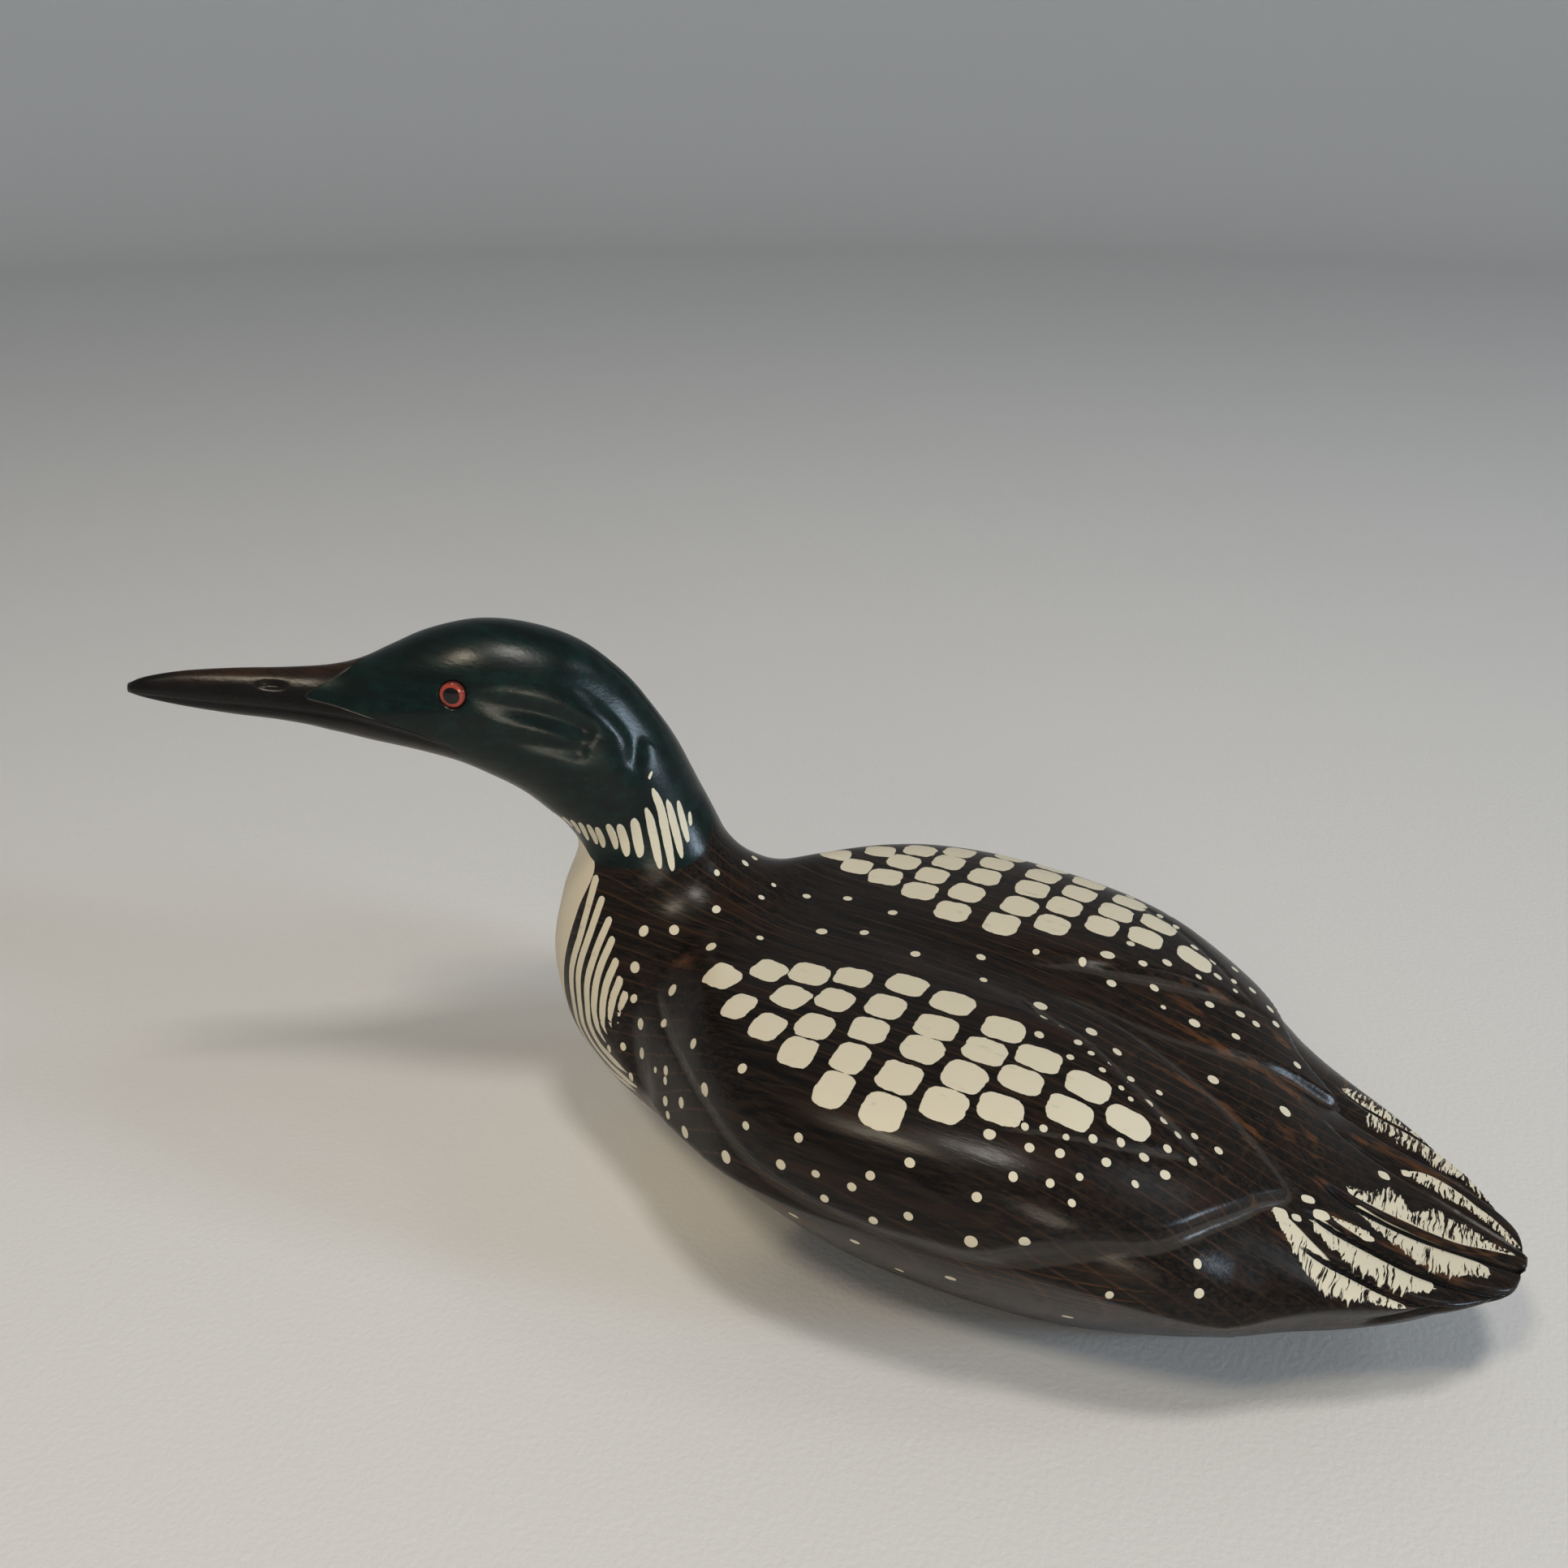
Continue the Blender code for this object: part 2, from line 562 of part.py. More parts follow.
def turned_solid(profile, seat, name, finish):
    """Spin a half profile of (radius, height) points round the seat's axis into a closed solid."""
    builder = bmesh.new()
    chain = [builder.verts.new((radius * MM, 0.0, height * MM)) for radius, height in profile]
    edges = [builder.edges.new(pair) for pair in zip(chain, chain[1:])]
    bmesh.ops.spin(
        builder, geom=chain + edges, cent=(0, 0, 0), axis=(0, 0, 1), angle=2 * pi, steps=EYE_SIDES,
    )
    bmesh.ops.remove_doubles(builder, verts=builder.verts, dist=1e-6)
    bmesh.ops.recalc_face_normals(builder, faces=builder.faces)
    bmesh.ops.triangulate(builder, faces=builder.faces)
    bmesh.ops.transform(builder, matrix=seat, verts=builder.verts)
    return object_from(builder, name, finish)


def eye_profile():
    """A glass eye in half section: a low dome in front, a shallow button behind."""
    radius = EYE_DIAMETER / 2
    button = radius * EYE_BUTTON_SHARE
    angles = np.linspace(0.0, pi / 2, EYE_DOME_POINTS)
    dome = [(radius * sin(angle), EYE_DOME_HEIGHT * cos(angle)) for angle in angles]
    return dome + [(radius, -EYE_BACK_DEPTH * EYE_WAIST), (button, -EYE_BACK_DEPTH), (0.0, -EYE_BACK_DEPTH)]


def socket_profile():
    """The seat cut for an eye, a little larger all round and open to the front."""
    radius = EYE_DIAMETER / 2 + EYE_SEAT_GAP
    floor = -EYE_BACK_DEPTH - EYE_SEAT_GAP
    return [(0.0, EYE_SOCKET_REACH), (radius, EYE_SOCKET_REACH), (radius, floor), (0.0, floor)]


def main() -> None:
    """Build the carving and its two eyes."""
    clear_scene()
    wood = material("stained_wood", (0.035, 0.024, 0.018), 0.38)
    glass = material("coral_glass_eye", (0.42, 0.09, 0.06), 0.08)
    carving = loft(carved_rings(), "carved_loon", wood)
    thin(carving, CARVING_TRIANGLES)
    plane_underside(carving)
    for side, label in ((1, "left"), (-1, "right")):
        turned_solid(eye_profile(), eye_seat(side), f"{label}_eye", glass)
        cut_from(carving, turned_solid(socket_profile(), eye_seat(side), f"{label}_eye_socket", wood))


if __name__ == "__main__":
    main()
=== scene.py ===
"""A carved and painted wooden loon decoy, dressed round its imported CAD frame.

The carving is lofted again at a finer step than the CAD solid, from the same named
sizes, so the wings, feather cuts, cheek and bill keep their places. Its paint is laid
as drawn marks: every dot, square and stripe is a shape with its own centre and size,
kept on the mesh as local coordinates, and the wood shows between them.

Frame: the bill points to -X, the tail to +X, the bird's left side is -Y, +Z is up and
the flat underside lies on Z = 0. Sizes in the tables are millimetres.
"""

import json
import logging
from dataclasses import dataclass, field
from enum import Enum
from math import cos, pi, radians, sin
from typing import NamedTuple

import bmesh
import bpy
import numpy as np
from mathutils import Matrix, Vector

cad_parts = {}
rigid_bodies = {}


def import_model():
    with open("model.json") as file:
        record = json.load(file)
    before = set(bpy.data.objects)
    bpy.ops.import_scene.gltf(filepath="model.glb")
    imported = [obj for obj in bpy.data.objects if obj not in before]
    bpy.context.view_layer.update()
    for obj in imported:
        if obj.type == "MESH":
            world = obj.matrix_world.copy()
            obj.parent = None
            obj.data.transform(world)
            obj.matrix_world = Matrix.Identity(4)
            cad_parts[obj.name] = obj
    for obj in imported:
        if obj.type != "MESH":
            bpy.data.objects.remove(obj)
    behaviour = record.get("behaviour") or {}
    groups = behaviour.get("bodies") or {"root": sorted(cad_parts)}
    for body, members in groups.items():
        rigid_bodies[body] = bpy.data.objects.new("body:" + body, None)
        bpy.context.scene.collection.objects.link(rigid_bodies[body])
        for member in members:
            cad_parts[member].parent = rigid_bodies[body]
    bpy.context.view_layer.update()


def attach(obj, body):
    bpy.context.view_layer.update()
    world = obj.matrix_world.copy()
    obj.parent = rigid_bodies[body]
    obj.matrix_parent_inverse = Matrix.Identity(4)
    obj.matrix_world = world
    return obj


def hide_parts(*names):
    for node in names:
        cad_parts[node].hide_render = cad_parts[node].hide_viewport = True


MM = 0.001
NECK_AXIS_X = -115.0
HEAD_TURN = radians(30.0)

log = logging.getLogger("loon_decoy")


class Side(Enum):
    """The two sides of the bird, by the sign of Y."""

    LEFT = -1.0
    RIGHT = 1.0


class MarkShape(Enum):
    """How a painted mark is rounded: the power of its outline curve."""

    ROUND = 2.0
    STRIPE = 2.6
    SQUARED = 3.4


class Station(NamedTuple):
    """One section of the loft, in the plane through its top and bottom points."""

    top_x: float
    top_z: float
    low_x: float
    low_z: float
    half_width: float
    widest: float
    upper_power: float
    lower_power: float
    flat_half_width: float


class WingPoint(NamedTuple):
    """A point of the wing's outline, and how the wood is cut there."""

    x: float
    side: float
    z: float
    depth: float
    wall: float
    reach: float


class Hollow(NamedTuple):
    """A groove on each side of the head, along a line of (forward of the neck, height)."""

    line: tuple[tuple[float, float], ...]
    depth: float
    upper_width: float
    lower_width: float
    start_fade: float


class SquareColumn(NamedTuple):
    """A column of chequers: where its first and last square lie as (x, girth), and their sizes."""

    first: tuple[float, float]
    last: tuple[float, float]
    count: int
    first_size: tuple[float, float]
    last_size: tuple[float, float]


class Dot(NamedTuple):
    """A painted dot: its place as (x, girth from the back's middle) and its diameter."""

    x: float
    girth: float
    diameter: float


class BrushBand(NamedTuple):
    """A band of cream strokes on a tail feather, seen from above as (x, y) lines.

    The strokes start level along the clean line and end raggedly near the ragged line.
    """

    clean: tuple[tuple[float, float], ...]
    ragged: tuple[tuple[float, float], ...]
    cover: float


class Grain(NamedTuple):
    """Noise along the wood: how fine it is on each axis, and how it is made up."""

    scale: tuple[float, float, float]
    detail: float
    roughness: float = 0.5


class NeckStripe(NamedTuple):
    """A stripe round the neck: bearing from the front in degrees, and height, at both ends."""

    top_bearing: float
    top_z: float
    low_bearing: float
    low_z: float
    width: float


BODY_STATIONS = (
    Station(170.0, 41.9, 170.0, 39.8, 4.5, 0.50, 2.0, 2.0, 0.0),
    Station(168.6, 42.5, 168.4, 38.0, 10.5, 0.50, 2.4, 2.0, 0.0),
    Station(166.0, 43.0, 164.5, 35.5, 16.6, 0.55, 3.0, 1.6, 0.0),
    Station(160.0, 44.2, 157.0, 30.5, 23.5, 0.72, 3.2, 1.4, 0.0),
    Station(151.5, 46.0, 149.0, 24.5, 31.5, 0.83, 3.2, 1.38, 0.0),
    Station(138.5, 49.5, 137.0, 14.5, 40.7, 0.87, 2.8, 1.4, 0.0),
    Station(125.0, 54.5, 125.0, 7.0, 48.7, 0.84, 2.4, 1.35, 2.0),
    Station(111.0, 62.0, 111.0, 1.6, 57.0, 0.73, 2.3, 1.22, 7.0),
    Station(98.0, 70.5, 98.0, 0.0, 65.5, 0.62, 2.4, 1.13, 16.0),
    Station(80.0, 80.5, 80.0, 0.0, 75.0, 0.61, 2.9, 1.1, 28.0),
    Station(50.0, 92.0, 50.0, 0.0, 84.5, 0.61, 3.6, 1.15, 38.0),
    Station(20.0, 96.2, 20.0, 0.0, 89.0, 0.60, 4.3, 1.15, 41.0),
    Station(-15.0, 97.6, -15.0, 0.0, 90.5, 0.60, 4.7, 1.1, 40.0),
    Station(-40.0, 97.7, -46.0, 0.0, 86.0, 0.60, 5.0, 1.03, 33.0),
    Station(-55.0, 98.0, -71.0, 0.0, 76.5, 0.58, 5.4, 1.0, 23.0),
    Station(-64.5, 98.8, -94.0, 2.5, 66.8, 0.55, 5.2, 1.06, 12.0),
    Station(-72.0, 101.0, -114.0, 10.0, 56.8, 0.51, 4.0, 1.25, 3.0),
    Station(-79.0, 104.5, -132.0, 23.0, 47.0, 0.47, 2.6, 1.5, 0.0),
    Station(-86.0, 109.5, -146.5, 42.0, 39.2, 0.46, 2.1, 1.8, 0.0),
    Station(-91.5, 116.0, -153.0, 68.0, 32.0, 0.46, 1.9, 2.0, 0.0),
    Station(-95.6, 124.0, -149.0, 93.0, 26.0, 0.47, 1.9, 2.0, 0.0),
    Station(-99.8, 132.0, -142.3, 112.0, 22.0, 0.48, 2.0, 2.0, 0.0),
)
HEAD_STATIONS = (
    Station(-12.2, 139.0, 30.6, 122.0, 21.3, 0.48, 2.0, 2.0, 0.0),
    Station(-7.2, 150.0, 37.5, 129.5, 21.3, 0.48, 2.0, 2.0, 0.0),
    Station(0.0, 162.0, 45.5, 136.5, 21.5, 0.48, 2.0, 2.0, 0.0),
    Station(9.0, 174.0, 55.0, 142.5, 21.8, 0.48, 2.0, 2.1, 0.0),
    Station(22.0, 184.8, 64.5, 147.5, 21.5, 0.47, 2.0, 2.2, 0.0),
    Station(38.0, 191.2, 75.0, 151.0, 20.3, 0.45, 2.0, 2.2, 0.0),
    Station(54.0, 193.3, 83.0, 153.0, 18.0, 0.44, 2.0, 2.2, 0.0),
    Station(70.0, 190.5, 91.0, 154.7, 15.2, 0.42, 2.0, 2.1, 0.0),
    Station(82.0, 185.7, 98.0, 156.5, 12.5, 0.40, 2.0, 2.0, 0.0),
    Station(92.0, 181.5, 104.5, 158.2, 10.5, 0.40, 1.9, 2.0, 0.0),
    Station(102.0, 179.5, 111.0, 160.0, 9.0, 0.42, 1.8, 2.0, 0.0),
    Station(116.0, 179.0, 121.0, 162.0, 7.4, 0.44, 1.8, 2.0, 0.0),
    Station(132.0, 179.2, 134.0, 164.0, 5.9, 0.45, 1.8, 2.0, 0.0),
    Station(148.0, 178.7, 149.0, 167.0, 4.2, 0.45, 1.8, 2.0, 0.0),
    Station(160.0, 177.0, 160.5, 170.0, 2.7, 0.47, 1.9, 2.0, 0.0),
    Station(165.5, 175.0, 165.8, 172.0, 1.1, 0.50, 2.0, 2.0, 0.0),
)
WING_LOWER_EDGE = (
    WingPoint(-94, 39, 86, 0.0, 2.0, 3.5),
    WingPoint(-80, 54, 80, 1.3, 2.0, 3.5),
    WingPoint(-66, 69, 77.5, 1.7, 2.2, 3.6),
    WingPoint(-52, 80.5, 73.5, 1.8, 2.2, 3.8),
    WingPoint(-36, 87.5, 67, 1.9, 2.2, 4.5),
    WingPoint(-12, 90.5, 60.5, 2.1, 2.4, 6.0),
    WingPoint(14, 89.5, 55.5, 2.5, 3.0, 9.0),
    WingPoint(34, 87, 55.5, 2.9, 4.5, 10.0),
    WingPoint(52, 84, 61.5, 3.3, 6.5, 10.0),
    WingPoint(66, 79.5, 66, 3.6, 8.0, 9.0),
    WingPoint(78, 70, 68, 3.8, 7.5, 8.0),
    WingPoint(90.5, 54, 67.5, 3.8, 7.0, 8.0),
    WingPoint(100, 38, 65.5, 3.4, 4.5, 8.0),
)
WING_INNER_EDGE = (
    WingPoint(97, 20.5, 69, 3.1, 2.6, 12.0),
    WingPoint(89, 16.2, 73, 3.0, 2.8, 12.0),
    WingPoint(81, 12.2, 78, 2.6, 2.8, 11.0),
    WingPoint(71, 8.2, 83, 1.7, 2.8, 10.0),
    WingPoint(61, 5, 88, 1.0, 2.6, 9.0),
    WingPoint(50, 2.4, 92, 0.7, 2.4, 8.0),
    WingPoint(35, 1.0, 95, 0.6, 2.0, 6.0),
    WingPoint(18, 0.6, 97, 0.0, 2.0, 4.0),
)
WING_TIPS = {
    Side.LEFT: WingPoint(106.5, 25.5, 63.5, 3.0, 2.4, 10.0),
    Side.RIGHT: WingPoint(115, 28.5, 60, 3.0, 2.4, 10.0),
}

# The back between the chequered lobes, seen from above as (x, distance from the middle)
LOBE_INNER = ((-60, 8), (0, 9), (22, 12), (28, 15.5), (39, 19), (56, 27.8), (74, 36.2), (84, 41))
LOBE_OUTER = ((20, 76), (33, 69), (49, 62), (63, 55), (76, 46.5), (84, 41))
LOBE_WALL = ((-60, 26), (0, 22), (26, 7.5), (84, 5.0))
LOBE_STEP = (
    (-60, 0.0), (-40, 0.2), (-15, 0.8), (5, 1.4), (20, 2.2), (35, 2.8), (56, 3.3), (74, 1.6), (84, 0.6),
    (92, 0.0),
)
BACK_HOLLOW = (
    (-60, 0.0), (-15, 0.4), (5, 0.7), (20, 1.1), (50, 1.8), (71, 2.4), (89, 1.6), (105, 0.3), (112, 0.0),
)

# Cuts between tail feathers seen from above, as (x, distance from the middle)
TAIL_CUTS = (
    ((108, 14), (127, 12.5), (139, 11), (154, 7.8), (167, 4.6), (171, 3.8)),
    ((108, 28), (127, 25.8), (143, 24.6), (155, 21.5), (164, 17.8), (168, 15.0)),
    ((112, 40), (127, 38), (134, 37.5), (146, 34.6), (157, 28.5), (160, 26)),
)
FLANK_FOLD = ((-99, 42, 80), (-97, 48, 69), (-90, 56, 59), (-78, 65, 50))
HEAD_HOLLOWS = (
    Hollow(((57, 174.0), (45, 172), (30, 167.5), (17.5, 160.5)), 2.5, 2.8, 4.8, 0.55),
    Hollow(((54, 163.5), (35, 159), (20, 155)), 1.4, 2.8, 3.2, 0.55),
    Hollow(((33, 180.5), (21, 175.5), (11, 166.5), (5.5, 157), (6, 148)), 1.6, 5.0, 3.0, 0.5),
    Hollow(((64, 176.0), (74, 175.5), (86, 173.5)), 0.8, 3.4, 3.4, 0.25),
    Hollow(
        ((161, 171.6), (148, 170.0), (126, 168.3), (105, 166.2), (92, 164.6), (79, 161.5), (65, 157.6)),
        0.8, 0.6, 1.3, 0.1,
    ),
    Hollow(((123.5, 175.4), (116.5, 174.9)), 0.8, 1.1, 1.1, 0.25),
)

CHEQUER_COLUMNS = {
    Side.LEFT: (
        SquareColumn((-67.3, 44.2), (-67.3, 44.2), 1, (11.4, 10.4), (11.4, 10.4)),
        SquareColumn((-55.2, 36.9), (-55.4, 56.5), 2, (10.4, 10.4), (9.0, 11.4)),
        SquareColumn((-43.2, 32.0), (-43.2, 60.5), 3, (12.2, 11.0), (9.8, 11.2)),
        SquareColumn((-29.6, 28.5), (-29.8, 68.0), 4, (12.0, 10.2), (10.8, 11.6)),
        SquareColumn((-13.8, 23.8), (-15.6, 77.0), 5, (12.6, 11.0), (9.8, 12.0)),
        SquareColumn((2.7, 26.7), (0.6, 78.5), 5, (12.8, 11.2), (12.2, 11.8)),
        SquareColumn((19.4, 31.3), (14.8, 69.1), 4, (12.4, 11.0), (12.8, 11.6)),
        SquareColumn((33.8, 39.5), (29.3, 63.0), 3, (12.8, 10.2), (13.0, 10.6)),
        SquareColumn((49.2, 41.0), (46.2, 53.6), 2, (12.8, 10.4), (13.2, 10.4)),
        SquareColumn((61.6, 46.0), (61.6, 46.0), 1, (13.2, 9.6), (13.2, 9.6)),
    ),
    Side.RIGHT: (
        SquareColumn((-67.5, 43.0), (-67.5, 43.0), 1, (11.0, 10.4), (11.0, 10.4)),
        SquareColumn((-57.4, 38.6), (-55.5, 54.0), 2, (10.6, 10.8), (10.6, 11.4)),
        SquareColumn((-45.6, 35.8), (-43.6, 62.0), 3, (11.6, 11.2), (11.2, 11.6)),
        SquareColumn((-31.8, 31.5), (-30.0, 70.0), 4, (11.8, 11.2), (11.2, 11.8)),
        SquareColumn((-16.8, 24.2), (-14.2, 79.0), 5, (11.6, 12.0), (11.0, 12.0)),
        SquareColumn((1.2, 23.2), (2.6, 80.0), 5, (11.6, 12.2), (11.8, 12.2)),
        SquareColumn((14.8, 32.2), (17.8, 72.4), 4, (11.2, 12.0), (11.8, 12.0)),
        SquareColumn((29.2, 40.6), (32.2, 65.8), 3, (10.8, 11.4), (11.8, 11.4)),
        SquareColumn((43.6, 44.4), (46.2, 57.5), 2, (11.4, 11.2), (12.2, 11.2)),
        SquareColumn((58.9, 45.8), (58.9, 45.8), 1, (12.2, 10.4), (12.2, 10.4)),
    ),
}


def dots(*rows: tuple[float, float, float]) -> tuple[Dot, ...]:
    """Dots from their places and diameters."""
    return tuple(Dot(*row) for row in rows)


LEFT_BACK_DOTS = dots(
    (-88.2, 7.6, 2.2), (-74.0, 2.7, 2.2), (-49.8, 7.3, 3.6), (-37.8, 1.5, 3.0), (-17.6, 4.7, 3.3),
    (6.2, 8.4, 2.4), (25.5, 10.4, 4.2), (41.1, 12.0, 3.6), (51.1, 16.5, 3.0), (76.5, 3.5, 3.4),
    (-82.9, 19.1, 3.0), (-65.6, 21.0, 2.2), (-92.4, 32.4, 3.5), (-76.7, 33.6, 3.5),
)
LEFT_LOBE_DOTS = dots(
    (28.9, 18.4, 2.6), (34.4, 19.6, 2.6), (30.4, 28.0, 3.0), (40.7, 25.3, 2.5), (40.0, 33.5, 2.3),
    (45.5, 28.0, 2.0), (51.5, 26.5, 2.6), (57.5, 25.6, 2.2), (57.1, 30.5, 2.0), (49.3, 33.0, 2.0),
    (56.5, 35.6, 1.8), (60.2, 37.6, 1.8), (64.0, 31.8, 2.8), (65.5, 23.8, 2.2), (69.6, 36.4, 2.8),
    (73.8, 38.5, 2.6), (78.5, 34.2, 2.2), (84.5, 32.9, 2.6), (72.4, 45.5, 2.6), (79.8, 43.8, 2.6),
    (74.7, 54.2, 3.0), (67.3, 53.0, 3.0), (61.1, 54.2, 2.6), (59.5, 62.2, 2.8), (67.8, 62.4, 2.2),
    (54.4, 57.8, 2.6), (48.2, 61.8, 2.0), (41.8, 63.8, 2.2), (37.5, 65.5, 2.2), (30.0, 73.1, 3.4),
    (41.1, 71.8, 2.8), (49.1, 68.5, 2.7), (55.6, 71.3, 2.2), (47.8, 77.3, 2.4), (55.3, 78.0, 2.2),
    (39.1, 81.3, 2.7), (87.8, 68.2, 2.6), (90.0, 74.7, 2.8), (68.5, 96.5, 2.4),
)
RIGHT_BACK_DOTS = dots(
    (-85.0, 6.0, 2.6), (-85.0, 13.8, 2.6), (-74.4, 6.7, 1.8), (-63.8, 10.0, 2.7), (-51.0, 15.5, 3.0),
    (-34.4, 14.0, 3.0), (0.0, 3.6, 3.0), (15.0, 14.7, 2.4), (29.0, 17.8, 2.6), (40.7, 15.0, 3.2),
    (56.2, 16.7, 1.8), (67.0, 17.3, 3.6), (78.7, 21.0, 2.7), (98.5, 2.7, 3.8),
)
RIGHT_LOBE_DOTS = dots(
    (36.7, 25.0, 4.4), (46.7, 27.6, 3.0), (52.2, 23.5, 3.0), (68.2, 29.6, 3.0), (77.3, 33.6, 3.0),
    (83.5, 34.0, 2.8), (97.3, 28.7, 2.8), (53.8, 34.7, 3.4), (62.7, 37.3, 2.2), (40.9, 36.4, 2.8),
    (67.6, 44.4, 3.0), (75.0, 42.5, 2.0), (88.2, 42.5, 2.8), (85.3, 49.3, 3.0), (78.7, 52.7, 3.0),
    (73.3, 50.0, 2.2), (64.9, 53.0, 2.6), (58.4, 55.3, 2.8), (71.0, 60.0, 3.0), (50.0, 63.0, 2.4),
    (44.0, 66.0, 2.4), (38.0, 68.5, 2.4), (31.0, 74.0, 3.2), (46.0, 74.5, 2.8), (56.0, 73.0, 2.6),
)
SHOULDER_DOTS = dots(
    (-103.6, 39.3, 3.6), (-102.7, 51.0, 3.8), (-83.5, 51.6, 4.0), (-101.3, 59.8, 3.0), (-84.5, 65.0, 3.0),
    (-95.5, 67.3, 3.8), (-65.0, 71.5, 3.2), (-101.5, 79.8, 2.8), (-92.0, 79.8, 3.8), (-83.8, 83.8, 2.0),
    (-76.5, 82.5, 3.0), (-76.2, 86.9, 2.5), (-108.2, 85.5, 2.8), (-96.0, 91.5, 2.8), (-76.2, 94.4, 3.2),
    (-67.0, 92.5, 3.4), (-54.9, 85.3, 4.2), (-43.8, 78.2, 3.0),
)
FLANK_DOTS = dots(
    (-38.0, 94.2, 2.6), (-20.4, 92.0, 2.8), (11.8, 89.3, 2.8), (32.0, 90.0, 2.8), (3.0, 96.4, 2.8),
    (45.6, 95.8, 3.2), (-74.5, 100.0, 2.6), (-64.2, 103.5, 3.8), (-45.3, 106.9, 3.8), (-25.5, 102.4, 3.2),
    (-13.6, 101.0, 2.5), (-2.0, 102.0, 2.8), (13.8, 104.0, 2.8), (32.2, 104.4, 3.8), (-10.4, 109.3, 2.6),
    (4.2, 110.7, 2.8), (-22.9, 127.6, 3.2), (-3.8, 129.5, 3.0), (23.8, 132.7, 3.2), (55.0, 135.0, 3.4),
    (5.5, 147.0, 3.2),
)
NECKLACE = tuple(NeckStripe(*row) for row in (
    (4.5, 129.5, 4.5, 125.5, 2.4), (13.5, 129.5, 13.5, 125.3, 2.4), (22.5, 129.6, 23.0, 125.2, 2.5),
    (31.5, 129.6, 33.5, 124.6, 2.6), (38.5, 129.0, 43.0, 122.4, 2.8), (47.3, 128.6, 53.0, 121.2, 2.7),
    (55.1, 128.6, 64.2, 120.3, 2.6), (63.2, 128.8, 74.7, 120.4, 2.9), (74.5, 129.5, 88.8, 120.2, 3.0),
    (84.3, 130.2, 101.5, 118.3, 3.5), (97.5, 131.0, 113.3, 118.3, 3.9), (107.5, 135.4, 130.8, 114.2, 3.3),
    (114.9, 140.4, 141.7, 112.5, 3.4), (129.4, 136.2, 146.7, 117.0, 3.1), (142.0, 133.8, 152.3, 121.0, 2.8),
    (154.7, 129.8, 154.9, 125.7, 1.9), (110.4, 144.0, 117.8, 145.6, 1.2),
))

TAIL_BANDS = (
    BrushBand(
        ((120, -10.6), (128, -9.4), (136, -8.2), (144, -7.2), (152, -5.8), (158, -3.5), (166, -0.6)),
        ((120, -7.5), (126, -4), (129, 1.5), (134, 2.5), (137, -2), (141, 1), (144, 4.5), (148, 3.8),
         (155, 3), (159, 1.5), (166, 0.4)), 0.55,
    ),
    BrushBand(
        ((123, -11.8), (130, -11.4), (140, -10.3), (150, -8.7), (156, -8.6), (160, -9.6)),
        ((123, -13.5), (128, -17), (132, -19), (136, -20), (142, -22.5), (148, -22), (152, -20), (155, -17),
         (160, -14.5)), 0.6,
    ),
    BrushBand(
        ((118, -24.0), (123, -24.0), (128, -24.0)),
        ((118, -22.5), (124, -20.5), (128, -20)), 0.6,
    ),
    BrushBand(
        ((113, -26), (118, -25.8), (128, -25.4), (136, -25.2), (141, -25.0), (146, -24.6)),
        ((113, -31.5), (118, -34), (124, -36), (130, -36.5), (138, -35.5), (141, -33.5), (146, -30)), 0.62,
    ),
    BrushBand(
        ((103, -32.5), (108, -34), (116, -37.0), (122, -38.4), (130, -38.2), (140, -37.2)),
        ((103, -37), (108, -41.5), (114, -46.5), (120, -49), (124, -47.5), (130, -44), (136, -41),
         (140, -39)), 0.6,
    ),
    BrushBand(
        ((134, 15.5), (137, 17.8), (140, 19), (145, 19), (150, 17.5), (155, 15), (160, 12.8), (164, 9.8),
         (168, 6)),
        ((134, 14.5), (139, 13.5), (145, 12.5), (150, 12), (155, 11), (160, 8.5), (165, 6), (168, 4.5)),
        0.55,
    ),
    BrushBand(
        ((121, 38), (130, 38), (138, 36.5), (146, 33.5), (152, 30), (157, 26), (160, 23)),
        ((121, 28), (127, 29.5), (133, 27.8), (138, 27.5), (144, 25), (150, 25.5), (155, 22.5), (160, 21)),
        0.52,
    ),
    BrushBand(
        ((112, 40), (118, 40), (126, 39.6), (134, 39.2), (142, 37)),
        ((112, 43.5), (118, 47), (126, 47), (134, 42.5), (142, 38)), 0.5,
    ),
)

# Blobs that the brush left beside the strokes, as (x, y) seen from above, and their size
TAIL_BLOBS = (
    ((129, 7), (3.6, 3.2)), ((110.5, -22.5), (4.2, 2.6)), ((114.5, -24.5), (5.2, 3.0)),
    ((104.5, -34.0), (4.8, 3.8)), ((108.5, -31.5), (3.2, 2.4)), ((135, 15), (3.0, 2.4)),
    ((127, -22.5), (4.0, 2.2)), ((107.5, -37.5), (3.6, 2.4)),
)

# Worn spots of the left side as (x, distance from the middle, height)
RUBBED_SPOT = (-84.8, 37.5, 93.8)
SCRAPED_LINE = ((83.0, 35.4, 77.8), (86.0, 38.2, 75.5), (89.0, 40.2, 73.2))

# Edges of the painted fields, seen from the side as (forward of the neck's axis, height)
BIB_EDGE = (
    (29, 121.5), (26, 119.2), (17.3, 113.9), (19.3, 96.5), (21, 83.8), (22.3, 71.5), (21.5, 57),
    (16.5, 47.5), (7, 42), (-6, 41), (-16, 43), (-26, 45.5), (-38, 44), (-55, 33), (-66, 17), (-72, 0),
)
BIB_BEYOND = ((-78.0, -30.0), (90.0, -30.0), (90.0, 121.5))
BILL_EDGE = (
    (80, 189), (86, 184.5), (93, 181), (100, 177), (109, 172), (100, 169.6), (92, 167.4), (82, 164.7),
    (72, 161.3), (66, 158.2), (62, 154.5),
)
BILL_BEYOND = ((62.0, 130.0), (200.0, 130.0), (200.0, 200.0), (80.0, 200.0))
